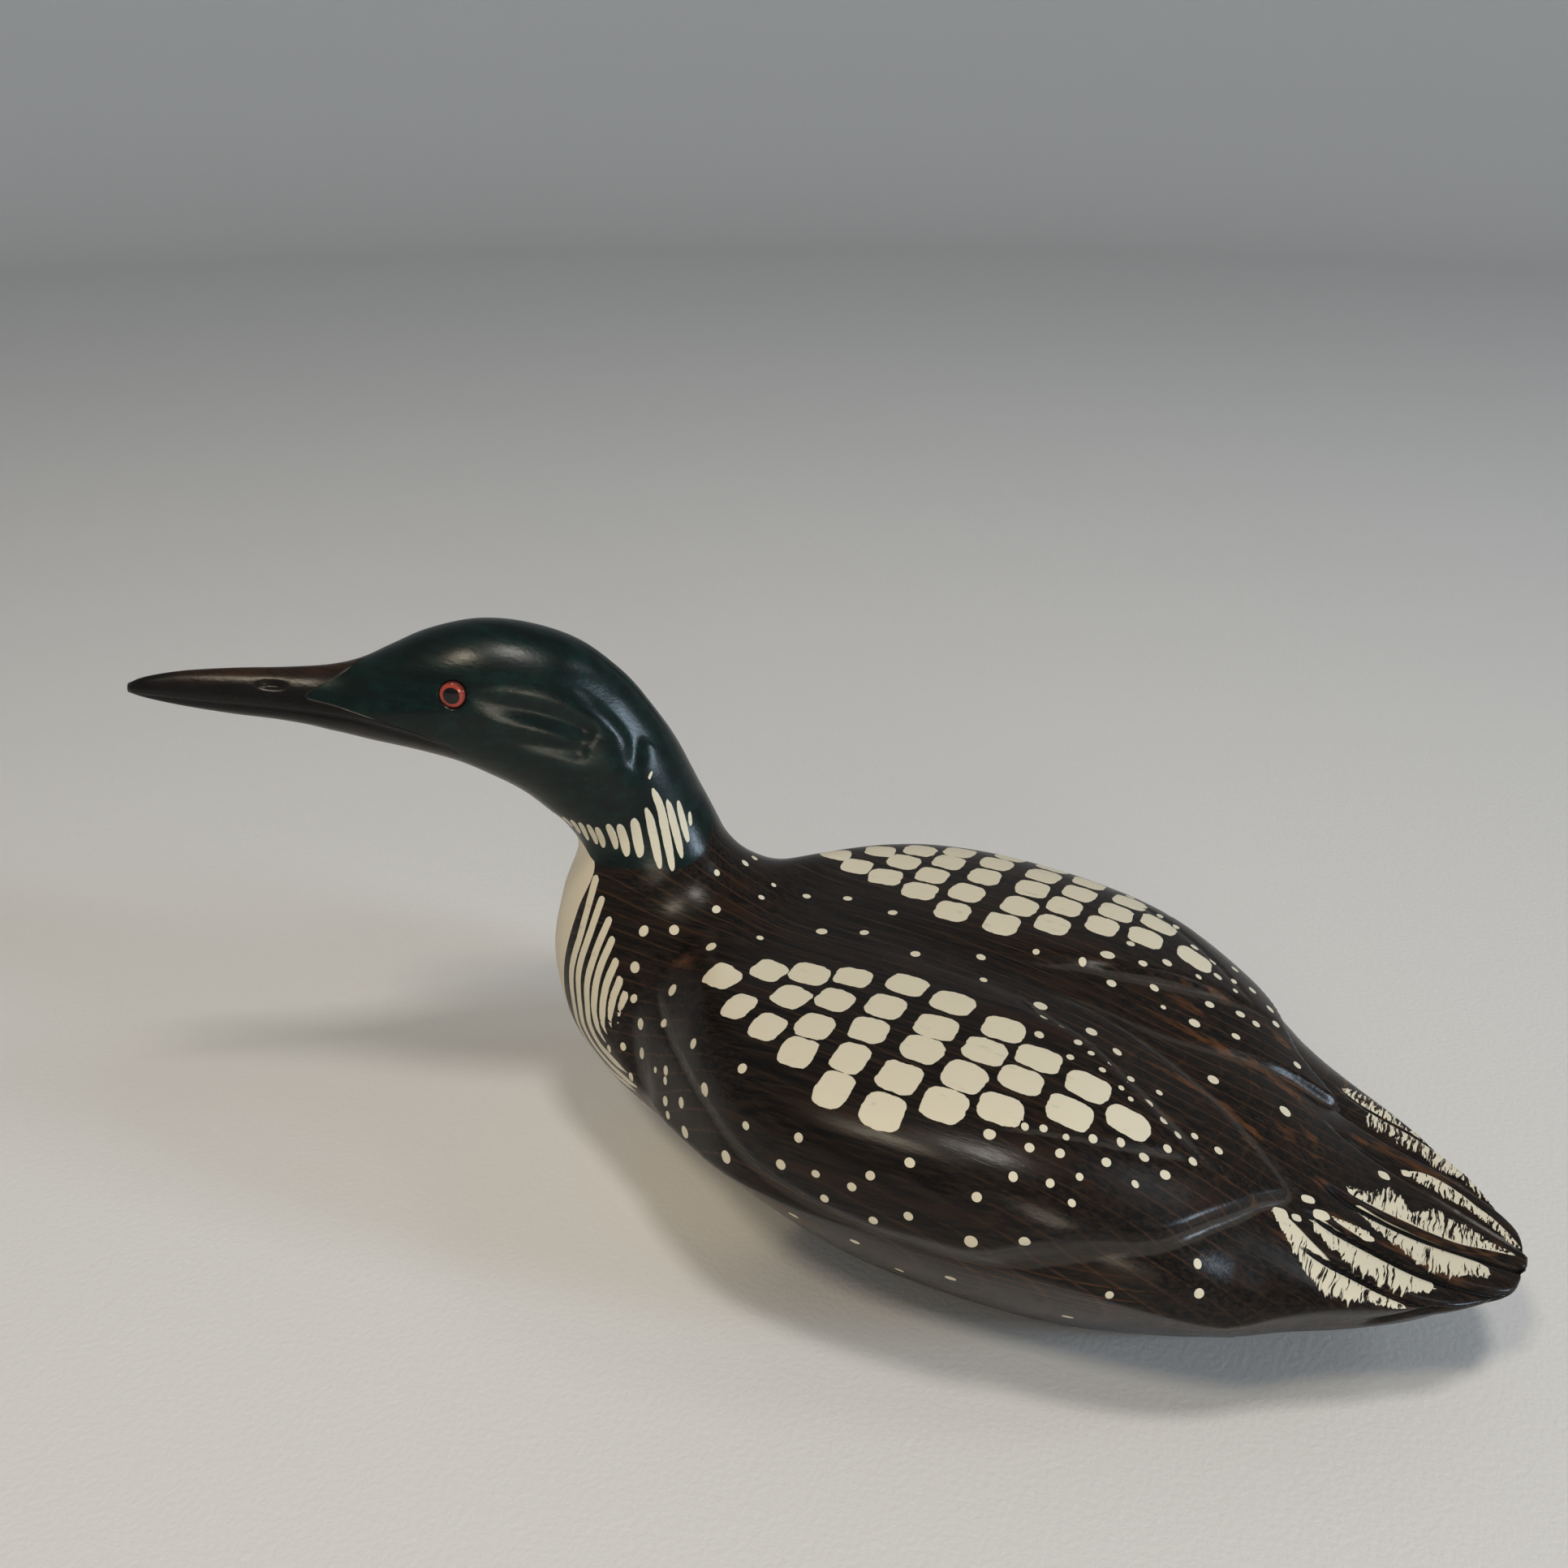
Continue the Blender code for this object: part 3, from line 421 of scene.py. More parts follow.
GREEN_EDGE = (
    (0, 121.0), (30, 119.2), (67, 113.9), (90, 114.0), (125, 114.4), (147, 113.6), (162, 116.4),
    (170, 119.3), (180, 122.5),
)
BREAST_STRIPES = (
    ((14.6, 108.6), (15.0, 89.5), (17.0, 73.0), (15.3, 61.8), (14.0, 53), (10.0, 47.0), (4.0, 44),
     (-3.8, 44.5), (-12, 47.5), (-20.7, 51)),
    ((9.6, 102.6), (10.6, 91), (12.7, 74.8), (11.0, 64.5), (9.6, 56.5), (5.0, 51.5), (-2.3, 49.8),
     (-12, 51.2), (-22.8, 54.5)),
    ((3.9, 96.7), (6.3, 84.3), (7.6, 75), (6.6, 67), (5.2, 60.0), (0.8, 55.6), (-7.6, 54.8), (-16.7, 56.2)),
    ((0.2, 91.1), (2.8, 80.2), (3.3, 72.8), (2.5, 66), (-0.2, 61.2), (-5.0, 59.0)),
    ((-3.6, 85.4), (-1.4, 77), (-1.1, 70.4), (-2.2, 64.6), (-5.6, 61.6)),
    ((-6.9, 80.9), (-5.2, 74), (-5.4, 67.6), (-7.2, 64.3)),
    ((-10.2, 77.6), (-9.0, 72.8), (-9.2, 68.2)),
)


def smooth_curve(knots: np.ndarray, values: np.ndarray, at: np.ndarray) -> np.ndarray:
    """A smooth curve through the values, read at the given places.

    Args:
        knots: Where the values lie, rising.
        values: The values at the knots.
        at: Where the curve is read.

    Returns:
        The curve's values at the places.
    """
    knots = np.asarray(knots, float)
    values = np.asarray(values, float)
    at = np.clip(np.asarray(at, float), knots[0], knots[-1])
    gaps = np.diff(knots)
    slopes = np.diff(values) / gaps
    tangents = np.empty_like(values)
    tangents[0] = slopes[0]
    tangents[-1] = slopes[-1]
    tangents[1:-1] = (slopes[:-1] * gaps[1:] + slopes[1:] * gaps[:-1]) / (gaps[1:] + gaps[:-1])
    span = np.clip(np.searchsorted(knots, at, side="right") - 1, 0, len(knots) - 2)
    u = (at - knots[span]) / gaps[span]
    start = values[span] * (2 * u**3 - 3 * u**2 + 1)
    leaving = tangents[span] * gaps[span] * (u**3 - 2 * u**2 + u)
    end = values[span + 1] * (3 * u**2 - 2 * u**3)
    arriving = tangents[span + 1] * gaps[span] * (u**3 - u**2)
    return start + leaving + end + arriving


def along(pairs: tuple, at: np.ndarray) -> np.ndarray:
    """A value that changes smoothly along a line, from (place, value) pairs."""
    return smooth_curve([place for place, _ in pairs], [value for _, value in pairs], at)


def ramp(value: np.ndarray, low: float, high: float) -> np.ndarray:
    """Rise smoothly from 0 at low to 1 at high."""
    u = np.clip((value - low) / (high - low), 0.0, 1.0)
    return u * u * (3.0 - 2.0 * u)


def bump(distance: np.ndarray, width: np.ndarray | float) -> np.ndarray:
    """A rounded bell of the given width, 1 on the line."""
    return np.exp(-((distance / width) ** 2))


def fine_line(points: tuple, pieces: int = 8) -> np.ndarray:
    """The corner points of a drawn line, rounded into a smooth one.

    Args:
        points: The line's corner points.
        pieces: How many short pieces each span becomes.

    Returns:
        The points of the smooth line.
    """
    points = np.asarray(points, float)
    chord = np.concatenate([[0.0], np.cumsum(np.linalg.norm(np.diff(points, axis=0), axis=1))])
    at = np.linspace(0.0, chord[-1], pieces * (len(points) - 1) + 1)
    return np.stack([smooth_curve(chord, points[:, axis], at) for axis in range(points.shape[1])], 1)


def line_distance(places: np.ndarray, line: np.ndarray) -> tuple[np.ndarray, np.ndarray]:
    """Distance from each place to a line.

    Args:
        places: Points, one a row.
        line: The line's points.

    Returns:
        The distances, and how far along the line, from 0 to 1, each nearest point is.
    """
    nearest = np.full(len(places), np.inf)
    share = np.zeros(len(places))
    count = len(line) - 1
    for index in range(count):
        start = line[index]
        step = line[index + 1] - start
        u = np.clip((places - start) @ step / (step @ step), 0.0, 1.0)
        gap = np.linalg.norm(places - (start + u[:, None] * step), axis=1)
        closer = gap < nearest
        nearest = np.where(closer, gap, nearest)
        share = np.where(closer, (index + u) / count, share)
    return nearest, share


def encloses(outline: np.ndarray, places: np.ndarray) -> np.ndarray:
    """Whether each place lies inside a closed outline in the plane."""
    inside = np.zeros(len(places), bool)
    following = np.roll(outline, -1, axis=0)
    for (x0, y0), (x1, y1) in zip(outline, following):
        if y0 == y1:
            continue
        spans = (y0 > places[:, 1]) != (y1 > places[:, 1])
        crossing = x0 + (places[:, 1] - y0) * (x1 - x0) / (y1 - y0)
        inside ^= spans & (places[:, 0] < crossing)
    return inside


@dataclass(frozen=True)
class Skin:
    """The carving's surface as rings from the tail tip to the bill, in millimetres."""

    ring_step: float = 1.6
    tail_ring_step: float = 0.85
    tail_stations: int = 8
    half_columns: int = 128
    top_fineness: float = 0.72
    section_samples: int = 200
    neck_axis_x: float = NECK_AXIS_X
    head_turn: float = HEAD_TURN
    turn_start_station: float = 18.0
    turn_end_station: float = 23.0
    planed_off: float = 0.6
    first_base_station: int = 8
    last_base_station: int = 14
    shortest_normal: float = 1e-9

    def station_table(self) -> np.ndarray:
        """All stations in the body's frame before the head turns, one row each."""
        rows = [list(station) for station in BODY_STATIONS]
        for station in HEAD_STATIONS:
            row = list(station)
            row[0] = self.neck_axis_x - station.top_x
            row[2] = self.neck_axis_x - station.low_x
            rows.append(row)
        return np.array(rows, float)

    def ring_places(self, table: np.ndarray) -> np.ndarray:
        """Where the rings lie, as station numbers with fractions, about one step apart."""
        top, low = table[:, [0, 1]], table[:, [2, 3]]
        middles = (top + low) / 2
        gaps = np.linalg.norm(np.diff(middles, axis=0), axis=1)
        places = []
        for index, gap in enumerate(gaps):
            step = self.tail_ring_step if index < self.tail_stations else self.ring_step
            count = max(2, round(gap / step))
            places.extend(index + np.arange(count) / count)
        places.append(len(table) - 1.0)
        return np.array(places)

    def half_section(self, row: np.ndarray) -> tuple[np.ndarray, np.ndarray]:
        """The left half of one section.

        Args:
            row: The station's sizes.

        Returns:
            Points from the top to the bottom of the section, and their girth from the top.
        """
        top_x, top_z, low_x, low_z, half_width, widest, upper, lower, flat = row
        angle = np.linspace(0.0, pi / 2, self.section_samples)
        inward = np.linspace(1.0, 0.0, self.section_samples // 8)[1:]
        side = np.concatenate([
            half_width * np.sin(angle) ** (2 / upper),
            flat + (half_width - flat) * np.cos(angle[1:]) ** (2 / lower),
            flat * inward,
        ])
        height = np.concatenate([
            widest + (1 - widest) * np.cos(angle) ** (2 / upper),
            widest - widest * np.sin(angle[1:]) ** (2 / lower),
            np.zeros_like(inward),
        ])
        points = np.stack([low_x + (top_x - low_x) * height, side, low_z + (top_z - low_z) * height], 1)
        length = np.concatenate([[0.0], np.cumsum(np.linalg.norm(np.diff(points, axis=0), axis=1))])
        share = np.linspace(0.0, 1.0, self.half_columns + 1)
        at = length[-1] * (self.top_fineness * share + (1.0 - self.top_fineness) * share**3)
        return np.stack([np.interp(at, length, points[:, axis]) for axis in range(3)], 1), at

    def grid(self) -> tuple[np.ndarray, np.ndarray, np.ndarray]:
        """The uncarved skin before the head turns: rings of left halves, girths and ring places."""
        table = self.station_table()
        places = self.ring_places(table)
        knots = np.arange(len(table), dtype=float)
        rows = np.stack([smooth_curve(knots, column, places) for column in table.T], 1)
        flat = Station._fields.index("flat_half_width")
        low = Station._fields.index("low_z")
        rows[:, flat] = np.maximum(rows[:, flat], 0.0)
        on_base = (places >= self.first_base_station) & (places <= self.last_base_station)
        rows[:, low] = np.where(on_base, -self.planed_off, np.maximum(rows[:, low], -self.planed_off))
        halves = [self.half_section(row) for row in rows]
        return np.array([half[0] for half in halves]), np.array([half[1] for half in halves]), places

    def outward(self, grid: np.ndarray) -> np.ndarray:
        """Unit normals of a grid of rings of left halves."""
        along_body = np.gradient(grid, axis=0)
        around = np.gradient(grid, axis=1)
        around[:, [0, -1], 0] = 0.0
        around[:, [0, -1], 2] = 0.0
        normal = np.cross(around, along_body)
        length = np.linalg.norm(normal, axis=2, keepdims=True)
        return normal / np.maximum(length, self.shortest_normal)

    def turn_head(self, points: np.ndarray, places: np.ndarray) -> np.ndarray:
        """Turn neck and head about the neck's axis, more and more from its root upward."""
        angle = self.head_turn * ramp(places, self.turn_start_station, self.turn_end_station)[:, None]
        x = points[..., 0] - self.neck_axis_x
        y = points[..., 1]
        turned = points.copy()
        turned[..., 0] = self.neck_axis_x + x * np.cos(angle) - y * np.sin(angle)
        turned[..., 1] = x * np.sin(angle) + y * np.cos(angle)
        return turned


@dataclass(frozen=True)
class Gouges:
    """Everything that is cut into the skin: wings, back, tail feathers, flank and head."""

    neck_axis_x: float = NECK_AXIS_X
    wing_scoop: float = 0.6
    lobe_crease_depth: float = 0.5
    lobe_crease_width: float = 1.2
    tail_cut_depth: float = 0.9
    tail_cut_width: float = 1.3
    tail_step: float = 1.2
    tail_step_reach: float = 7.0
    flank_fold_depth: float = 1.6
    flank_fold_width: float = 5.5
    flank_fold_ends: tuple[float, float] = (0.08, 0.92)
    wing_zone_x: tuple[float, float] = (-112.0, 150.0)
    wing_zone_bottom: float = 20.0
    scooped_walls: tuple[float, float] = (3.0, 6.0)
    hollow_overlap: float = 6.0
    lobe_crease_start: tuple[float, float] = (26.0, 40.0)
    lobe_crease_end: tuple[float, float] = (-84.0, -74.0)
    tail_lip_width: float = 0.6
    tail_cut_start: tuple[float, float] = (108.0, 122.0)
    tail_cut_heights: tuple[float, float] = (33.0, 38.0)
    hollow_run_out: float = -0.05
    hollow_end_fade: float = 0.1
    hollow_sides: tuple[float, float] = (1.5, 3.0)
    body_cut_rear_of: float = -100.0
    body_cut_heights: tuple[float, float] = (25.0, 40.0)
    head_cut_heights: tuple[float, float] = (128.0, 140.0)
    back_cut_heights: tuple[float, float] = (55.0, 65.0)

    def wing(self, skin: np.ndarray, girth: np.ndarray, tip: WingPoint) -> np.ndarray:
        """The wings stand proud of the flanks and the rump along their whole outline.

        Args:
            skin: The uncarved half skin.
            girth: Girth from the back's middle of each of its points.
            tip: The tip of this side's wing.

        Returns:
            How far each point moves outward.
        """
        flat = skin.reshape(-1, 3)
        flat_girth = girth.ravel()
        outline_points = WING_LOWER_EDGE + (tip,) + WING_INNER_EDGE
        laid = []
        for point in outline_points:
            nearest = int(np.argmin(np.linalg.norm(flat - (point.x, point.side, point.z), axis=1)))
            laid.append((flat[nearest, 0], flat_girth[nearest]))
        outline = fine_line(laid)
        places = np.stack([flat[:, 0], flat_girth], 1)
        front, rear = self.wing_zone_x
        near = (flat[:, 0] > front) & (flat[:, 0] < rear) & (flat[:, 2] > self.wing_zone_bottom)
        gap, share = line_distance(places[near], outline)
        inside = encloses(outline, places[near])
        knots = np.linspace(0.0, 1.0, len(outline_points))
        depth = np.interp(share, knots, [point.depth for point in outline_points])
        wall = np.interp(share, knots, [point.wall for point in outline_points])
        reach = np.interp(share, knots, [point.reach for point in outline_points])
        rise = np.clip(gap / wall, 0.0, 1.0)
        scoop = 4.0 * self.wing_scoop * rise * (1.0 - rise) * ramp(wall, *self.scooped_walls)
        cut = np.zeros(len(flat))
        cut[near] = -np.where(inside, depth * (1.0 - rise) + scoop, depth * np.exp(-gap / reach))
        return cut

    def back(self, skin: np.ndarray) -> np.ndarray:
        """The hollow along the middle of the back, stepped down from the chequered lobes."""
        x, side, _ = skin.T
        edge = along(LOBE_INNER, x)
        width = along(LOBE_WALL, x)
        wall = np.clip((edge + width - side) / width, 0.0, 1.0)
        step = along(LOBE_STEP, x) * np.where(side < edge, 1.0, wall**2)
        reach = edge + self.hollow_overlap
        hollow = along(BACK_HOLLOW, x) * ramp(reach - side, 0.0, reach)
        return -(step + hollow)

    def lobe_crease(self, skin: np.ndarray) -> np.ndarray:
        """A fine cut along the outer side of each chequered lobe."""
        x, side, _ = skin.T
        span = ramp(x, *self.lobe_crease_start) * ramp(-x, *self.lobe_crease_end)
        return -self.lobe_crease_depth * bump(side - along(LOBE_OUTER, x), self.lobe_crease_width) * span

    def tail(self, skin: np.ndarray) -> np.ndarray:
        """Stepped edges between the tail feathers, the middle feather on top."""
        x, side, z = skin.T
        cut = np.zeros(len(skin))
        for line in TAIL_CUTS:
            drawn = fine_line(line)
            gap, _ = line_distance(skin[:, :2], drawn)
            beyond = side > np.interp(x, drawn[:, 0], drawn[:, 1])
            step = np.where(beyond, np.exp(-gap / self.tail_step_reach), bump(gap, self.tail_lip_width))
            cut -= self.tail_cut_depth * bump(gap, self.tail_cut_width) + self.tail_step * step
        return cut * ramp(x, *self.tail_cut_start) * ramp(z, *self.tail_cut_heights)

    def flank(self, skin: np.ndarray) -> np.ndarray:
        """A soft hollow between the breast and the front of the wing."""
        gap, share = line_distance(skin, fine_line(FLANK_FOLD))
        fade = np.sin(pi * np.clip(share, *self.flank_fold_ends))
        return -self.flank_fold_depth * bump(gap, self.flank_fold_width) * fade

    def head(self, skin: np.ndarray) -> np.ndarray:
        """Hollows of the cheek, the eye channel, the gape line and the nostrils."""
        x, side, z = skin.T
        seen = np.stack([self.neck_axis_x - x, z], 1)
        cut = np.zeros(len(skin))
        for hollow in HEAD_HOLLOWS:
            line = fine_line(hollow.line)
            gap, share = line_distance(seen, line)
            order = np.argsort(line[:, 0])
            above = z > np.interp(seen[:, 0], line[order, 0], line[order, 1])
            width = np.where(above, hollow.upper_width, hollow.lower_width)
            start = ramp(share, self.hollow_run_out, hollow.start_fade)
            ends = start * ramp(1.0 - share, self.hollow_run_out, self.hollow_end_fade)
            cut -= hollow.depth * bump(gap, width) * ends
        return cut * ramp(side, *self.hollow_sides)

    def depth(self, skin: np.ndarray, girth: np.ndarray, tip: WingPoint) -> np.ndarray:
        """How far each place on one side's skin moves outward, negative where wood is cut away."""
        flat = skin.reshape(-1, 3)
        x, _, z = flat.T
        on_body = ramp(x, self.neck_axis_x, self.body_cut_rear_of) * ramp(z, *self.body_cut_heights)
        on_head = ramp(z, *self.head_cut_heights)
        on_back = ramp(z, *self.back_cut_heights)
        back = (self.back(flat) + self.lobe_crease(flat)) * on_back
        body = self.wing(skin, girth, tip) + back + self.flank(flat)
        return (body * on_body + self.tail(flat) + self.head(flat) * on_head).reshape(skin.shape[:-1])


@dataclass
class SkinPoints:
    """Every point of the carving before the head turns, as closed rings in millimetres."""

    points: np.ndarray
    normals: np.ndarray
    around: np.ndarray
    girth: np.ndarray
    depth: np.ndarray

    @property
    def side(self) -> np.ndarray:
        """Distance from the middle plane."""
        return np.abs(self.points[:, 1])

    def heading(self, at: int) -> np.ndarray:
        """The way toward the bill at a point, square to the section through it."""
        return np.cross(self.around[at], self.normals[at])

    @property
    def left(self) -> np.ndarray:
        """Whether each point is on the bird's left."""
        return self.points[:, 1] <= 0.0


@dataclass
class PaintLayer:
    """Painted marks kept as local coordinates, so that their edges stay crisp.

    Each face belongs to the mark that is nearest it, and its corners keep their place
    in that mark: 1 is the mark's outline along and across it.
    """

    skin: SkinPoints
    faces: np.ndarray
    unpainted: float = 9.0
    farthest: float = 3.0
    patch_reach: float = 1.5
    patch_margin: float = 2.0
    stroke_reach: float = 0.7
    stroke_margin: float = 3.0
    corners: np.ndarray = field(init=False)
    nearest: np.ndarray = field(init=False)
    centres: np.ndarray = field(init=False)

    def __post_init__(self) -> None:
        """Start with bare wood everywhere."""
        self.corners = np.full((*self.faces.shape, 3), self.unpainted)
        self.nearest = np.full(len(self.faces), self.farthest)
        self.centres = self.skin.points[self.faces].mean(axis=1)

    def lay(self, chosen: np.ndarray, first: np.ndarray, second: np.ndarray, shape: MarkShape) -> None:
        """Give faces to a mark where it is nearer than the marks laid so far.

        Args:
            chosen: The faces that the mark may reach.
            first: The first local coordinate at each of their corners.
            second: The second local coordinate there.
            shape: How the mark's outline is rounded.
        """
        middle_first = np.abs(first.mean(axis=1))
        middle_second = np.abs(second.mean(axis=1))
        power = shape.value
        far = (middle_first**power + middle_second**power) ** (1 / power)
        closer = far < self.nearest[chosen]
        taken = chosen[closer]
        self.nearest[taken] = far[closer]
        self.corners[taken, :, 0] = first[closer]
        self.corners[taken, :, 1] = second[closer]
        self.corners[taken, :, 2] = power

    def patch(self, at: int, half_along: float, half_across: float, shape: MarkShape,
              turned: float) -> None:
        """Lay one mark flat on the skin at a point of it.

        Args:
            at: The point's number.
            half_along: Half the mark's length along the body.
            half_across: Half its width round the body.
            shape: How its outline is rounded.
            turned: Angle by which the mark is turned on the skin.
        """
        centre = self.skin.points[at]
        normal = self.skin.normals[at]
        heading = self.skin.heading(at)
        first = heading - normal * (heading @ normal)
        first /= np.linalg.norm(first)
        second = np.cross(normal, first)
        ahead, beside = cos(turned), sin(turned)
        first, second = first * ahead + second * beside, second * ahead - first * beside
        reach = self.patch_reach * max(half_along, half_across) + self.patch_margin
        chosen = np.flatnonzero(np.linalg.norm(self.centres - centre, axis=1) < reach)
        offset = self.skin.points[self.faces[chosen]] - centre
        self.lay(chosen, offset @ first / half_along, offset @ second / half_across, shape)

    def stroke(self, start: int, end: int, width: float) -> None:
        """Lay one long mark between two points of the skin."""
        low = self.skin.points[start]
        high = self.skin.points[end]
        centre = (low + high) / 2
        normal = self.skin.normals[start] + self.skin.normals[end]
        normal /= np.linalg.norm(normal)
        length = np.linalg.norm(high - low)
        first = (high - low) / length
        second = np.cross(normal, first)
        second /= np.linalg.norm(second)
        reach = self.stroke_reach * length + self.stroke_margin
        chosen = np.flatnonzero(np.linalg.norm(self.centres - centre, axis=1) < reach)
        offset = self.skin.points[self.faces[chosen]] - centre
        self.lay(chosen, offset @ first / (length / 2), offset @ second / (width / 2), MarkShape.STRIPE)


@dataclass
class PaintPlan:
    """The painter's plan: which marks go where, and where each painted field ends."""

    skin: SkinPoints
    faces: np.ndarray
    neck_axis_x: float = NECK_AXIS_X
    neck_middle: float = 9.0
    square_wobble: float = 0.4
    front_square_turn: float = radians(12.0)
    necklace_thinning: float = 0.9
    breast_stripe_width: float = 3.0
    breast_stripe_taper: float = 9.0
    # The pale line along the wing's front cut, partly dust and partly a painted highlight, runs along the
    # first points of the wing's lower edge; the scraped line shares its width.
    dust_glint_line_points: int = 7
    scuff_and_glint_width: float = 1.1
    rub_width: float = 4.0
    body_top: float = 132.0
    neck_scale: float = 0.38
    neck_zone: tuple[float, float] = (-30.0, 45.0)
    turned_columns: tuple[float, float] = (25.0, 62.0)
    square_turn_wobble: float = radians(12.0)
    dot_stretch: tuple[float, float] = (0.93, 1.08)
    blob_turn: float = radians(25.0)
    stripe_zone_z: tuple[float, float] = (30.0, 116.0)
    stripe_zone_forward: float = 45.0
    stripe_point: float = 0.25
    stripe_catch: float = 2.0
    green_ends_x: float = -60.0
    no_green: float = -20.0
    band_catch: float = 1.2
    band_off: float = 9.0
    band_offset: float = 40.0
    band_bottom: float = 30.0
    smoothings: int = 3
    culmen_start: tuple[float, float] = (84.0, 96.0)
    culmen_end: tuple[float, float] = (-158.0, -140.0)
    culmen_girth: tuple[float, float] = (-7.0, -2.5)
    # Where that pale line, partly a painted highlight, fades in and out along the cut.
    dust_glint_start: tuple[float, float] = (0.05, 0.3)
    dust_glint_end: tuple[float, float] = (0.0, 0.4)
    seed: int = 7

    def seen(self) -> np.ndarray:
        """Every point as seen from the side: (forward of the neck's axis, height)."""
        return np.stack([self.forward(), self.skin.points[:, 2]], 1)

    def forward(self) -> np.ndarray:
        """How far each point lies forward of the neck's axis."""
        return self.neck_axis_x - self.skin.points[:, 0]

    def bearing(self) -> np.ndarray:
        """Bearing round the neck from straight ahead, in degrees, the same on both sides."""
        return np.degrees(np.arctan2(self.skin.side, self.forward() - self.neck_middle))

    def on_body(self, x: float, girth: float, side: Side) -> int:
        """The point of one side's skin at a place along the body and a girth from the back's middle."""
        same_side = self.skin.left == (side is Side.LEFT)
        gap = np.hypot(self.skin.points[:, 0] - x, self.skin.girth - girth)
        return int(np.argmin(np.where(same_side & (self.skin.points[:, 2] < self.body_top), gap, np.inf)))

    def on_neck(self, bearing: float, z: float, side: Side) -> int:
        """The point of one side's neck at a bearing and a height."""
        same_side = self.skin.left == (side is Side.LEFT)
        gap = np.hypot((self.bearing() - bearing) * self.neck_scale, self.skin.points[:, 2] - z)
        rear, front = self.neck_zone
        near = same_side & (self.forward() < front) & (self.forward() > rear)
        return int(np.argmin(np.where(near, gap, np.inf)))

    def chequers(self, paint: PaintLayer) -> None:
        """Squares in columns across the wing, more of them towards its middle."""
        dice = np.random.default_rng(self.seed)
        for side, columns in CHEQUER_COLUMNS.items():
            for column in columns:
                first = np.array(column.first + column.first_size)
                last = np.array(column.last + column.last_size)
                for share in np.linspace(0.0, 1.0, column.count):
                    wobble = dice.uniform(-self.square_wobble, self.square_wobble, 5)
                    x, girth, length, width = first + (last - first) * share + wobble[:4]
                    at = self.on_body(x, girth, side)
                    turn = self.front_square_turn * ramp(-x, *self.turned_columns) * side.value
                    turn += self.square_turn_wobble * wobble[4]
                    paint.patch(at, length / 2, width / 2, MarkShape.SQUARED, turn)

    def dots(self, paint: PaintLayer) -> None:
        """Dots scattered over the back, round the lobes, on the shoulders and the flanks."""
        dice = np.random.default_rng(self.seed)
        own = {
            Side.LEFT: LEFT_BACK_DOTS + LEFT_LOBE_DOTS,
            Side.RIGHT: RIGHT_BACK_DOTS + RIGHT_LOBE_DOTS,
        }
        for side in Side:
            for dot in own[side] + SHOULDER_DOTS + FLANK_DOTS:
                stretch = dice.uniform(*self.dot_stretch)
                at = self.on_body(dot.x, dot.girth, side)
                radius = dot.diameter / 2
                paint.patch(at, radius * stretch, radius / stretch, MarkShape.ROUND, dice.uniform(0.0, pi))

    def necklace(self, paint: PaintLayer) -> None:
        """Upright stripes round the neck, the longest behind the middle of its side."""
        for side in Side:
            for stripe in NECKLACE:
                top = self.on_neck(stripe.top_bearing, stripe.top_z, side)
                low = self.on_neck(stripe.low_bearing, stripe.low_z, side)
                paint.stroke(low, top, stripe.width * self.necklace_thinning)

    def tail_blobs(self, paint: PaintLayer) -> None:
        """Small blobs beside the strokes on the tail."""
        x, y, _ = self.skin.points.T
        for (at_x, at_y), (length, width) in TAIL_BLOBS:
            gap = np.where(self.skin.normals[:, 2] > 0.0, np.hypot(x - at_x, y - at_y), np.inf)
            paint.patch(int(np.argmin(gap)), length / 2, width / 2, MarkShape.STRIPE, self.blob_turn)

    def breast_stripes(self, paint: PaintLayer) -> None:
        """Stripes beside the bib, each shorter than the one in front of it, thinning to a point."""
        seen = self.seen()
        bottom, top = self.stripe_zone_z
        near = (seen[:, 1] > bottom) & (seen[:, 1] < top) & (np.abs(seen[:, 0]) < self.stripe_zone_forward)
        half = self.breast_stripe_width / 2
        for stripe in BREAST_STRIPES:
            line = fine_line(stripe)
            gap, share = line_distance(seen, line)
            length = np.linalg.norm(np.diff(line, axis=0), axis=1).sum()
            whole = ramp(length * (1.0 - share), 0.0, self.breast_stripe_taper)
            across = gap / (half * (self.stripe_point + (1.0 - self.stripe_point) * whole))
            caught = across[self.faces].min(axis=1) < self.stripe_catch
            chosen = np.flatnonzero(near[self.faces].all(axis=1) & caught)
            chosen_across = across[self.faces[chosen]]
            paint.lay(chosen, chosen_across, np.zeros_like(chosen_across), MarkShape.ROUND)

    def in_bib(self, seen: np.ndarray) -> np.ndarray:
        """Whether a place seen from the side lies in the pale bib."""
        return encloses(np.concatenate([fine_line(BIB_EDGE), BIB_BEYOND]), seen)

    def marks(self) -> np.ndarray:
        """Local coordinates of the nearest mark at every corner of every face."""
        paint = PaintLayer(self.skin, self.faces)
        self.chequers(paint)
        self.dots(paint)
        self.necklace(paint)
        self.tail_blobs(paint)
        self.breast_stripes(paint)
        return paint.corners

    def fields(self) -> np.ndarray:
        """Distance inside the green head paint, the pale bib and the black bill, in millimetres."""
        seen = self.seen()
        green = seen[:, 1] - along(GREEN_EDGE, self.bearing())
        green = np.where(self.skin.points[:, 0] > self.green_ends_x, self.no_green, green)
        bib_gap, _ = line_distance(seen, fine_line(BIB_EDGE))
        bib = np.where(self.in_bib(seen), bib_gap, -bib_gap)
        bill_gap, _ = line_distance(seen, fine_line(BILL_EDGE))
        front = np.concatenate([fine_line(BILL_EDGE), BILL_BEYOND])
        bill = np.where(encloses(front, seen), bill_gap, -bill_gap)
        return np.stack([green, bib, bill], 1)

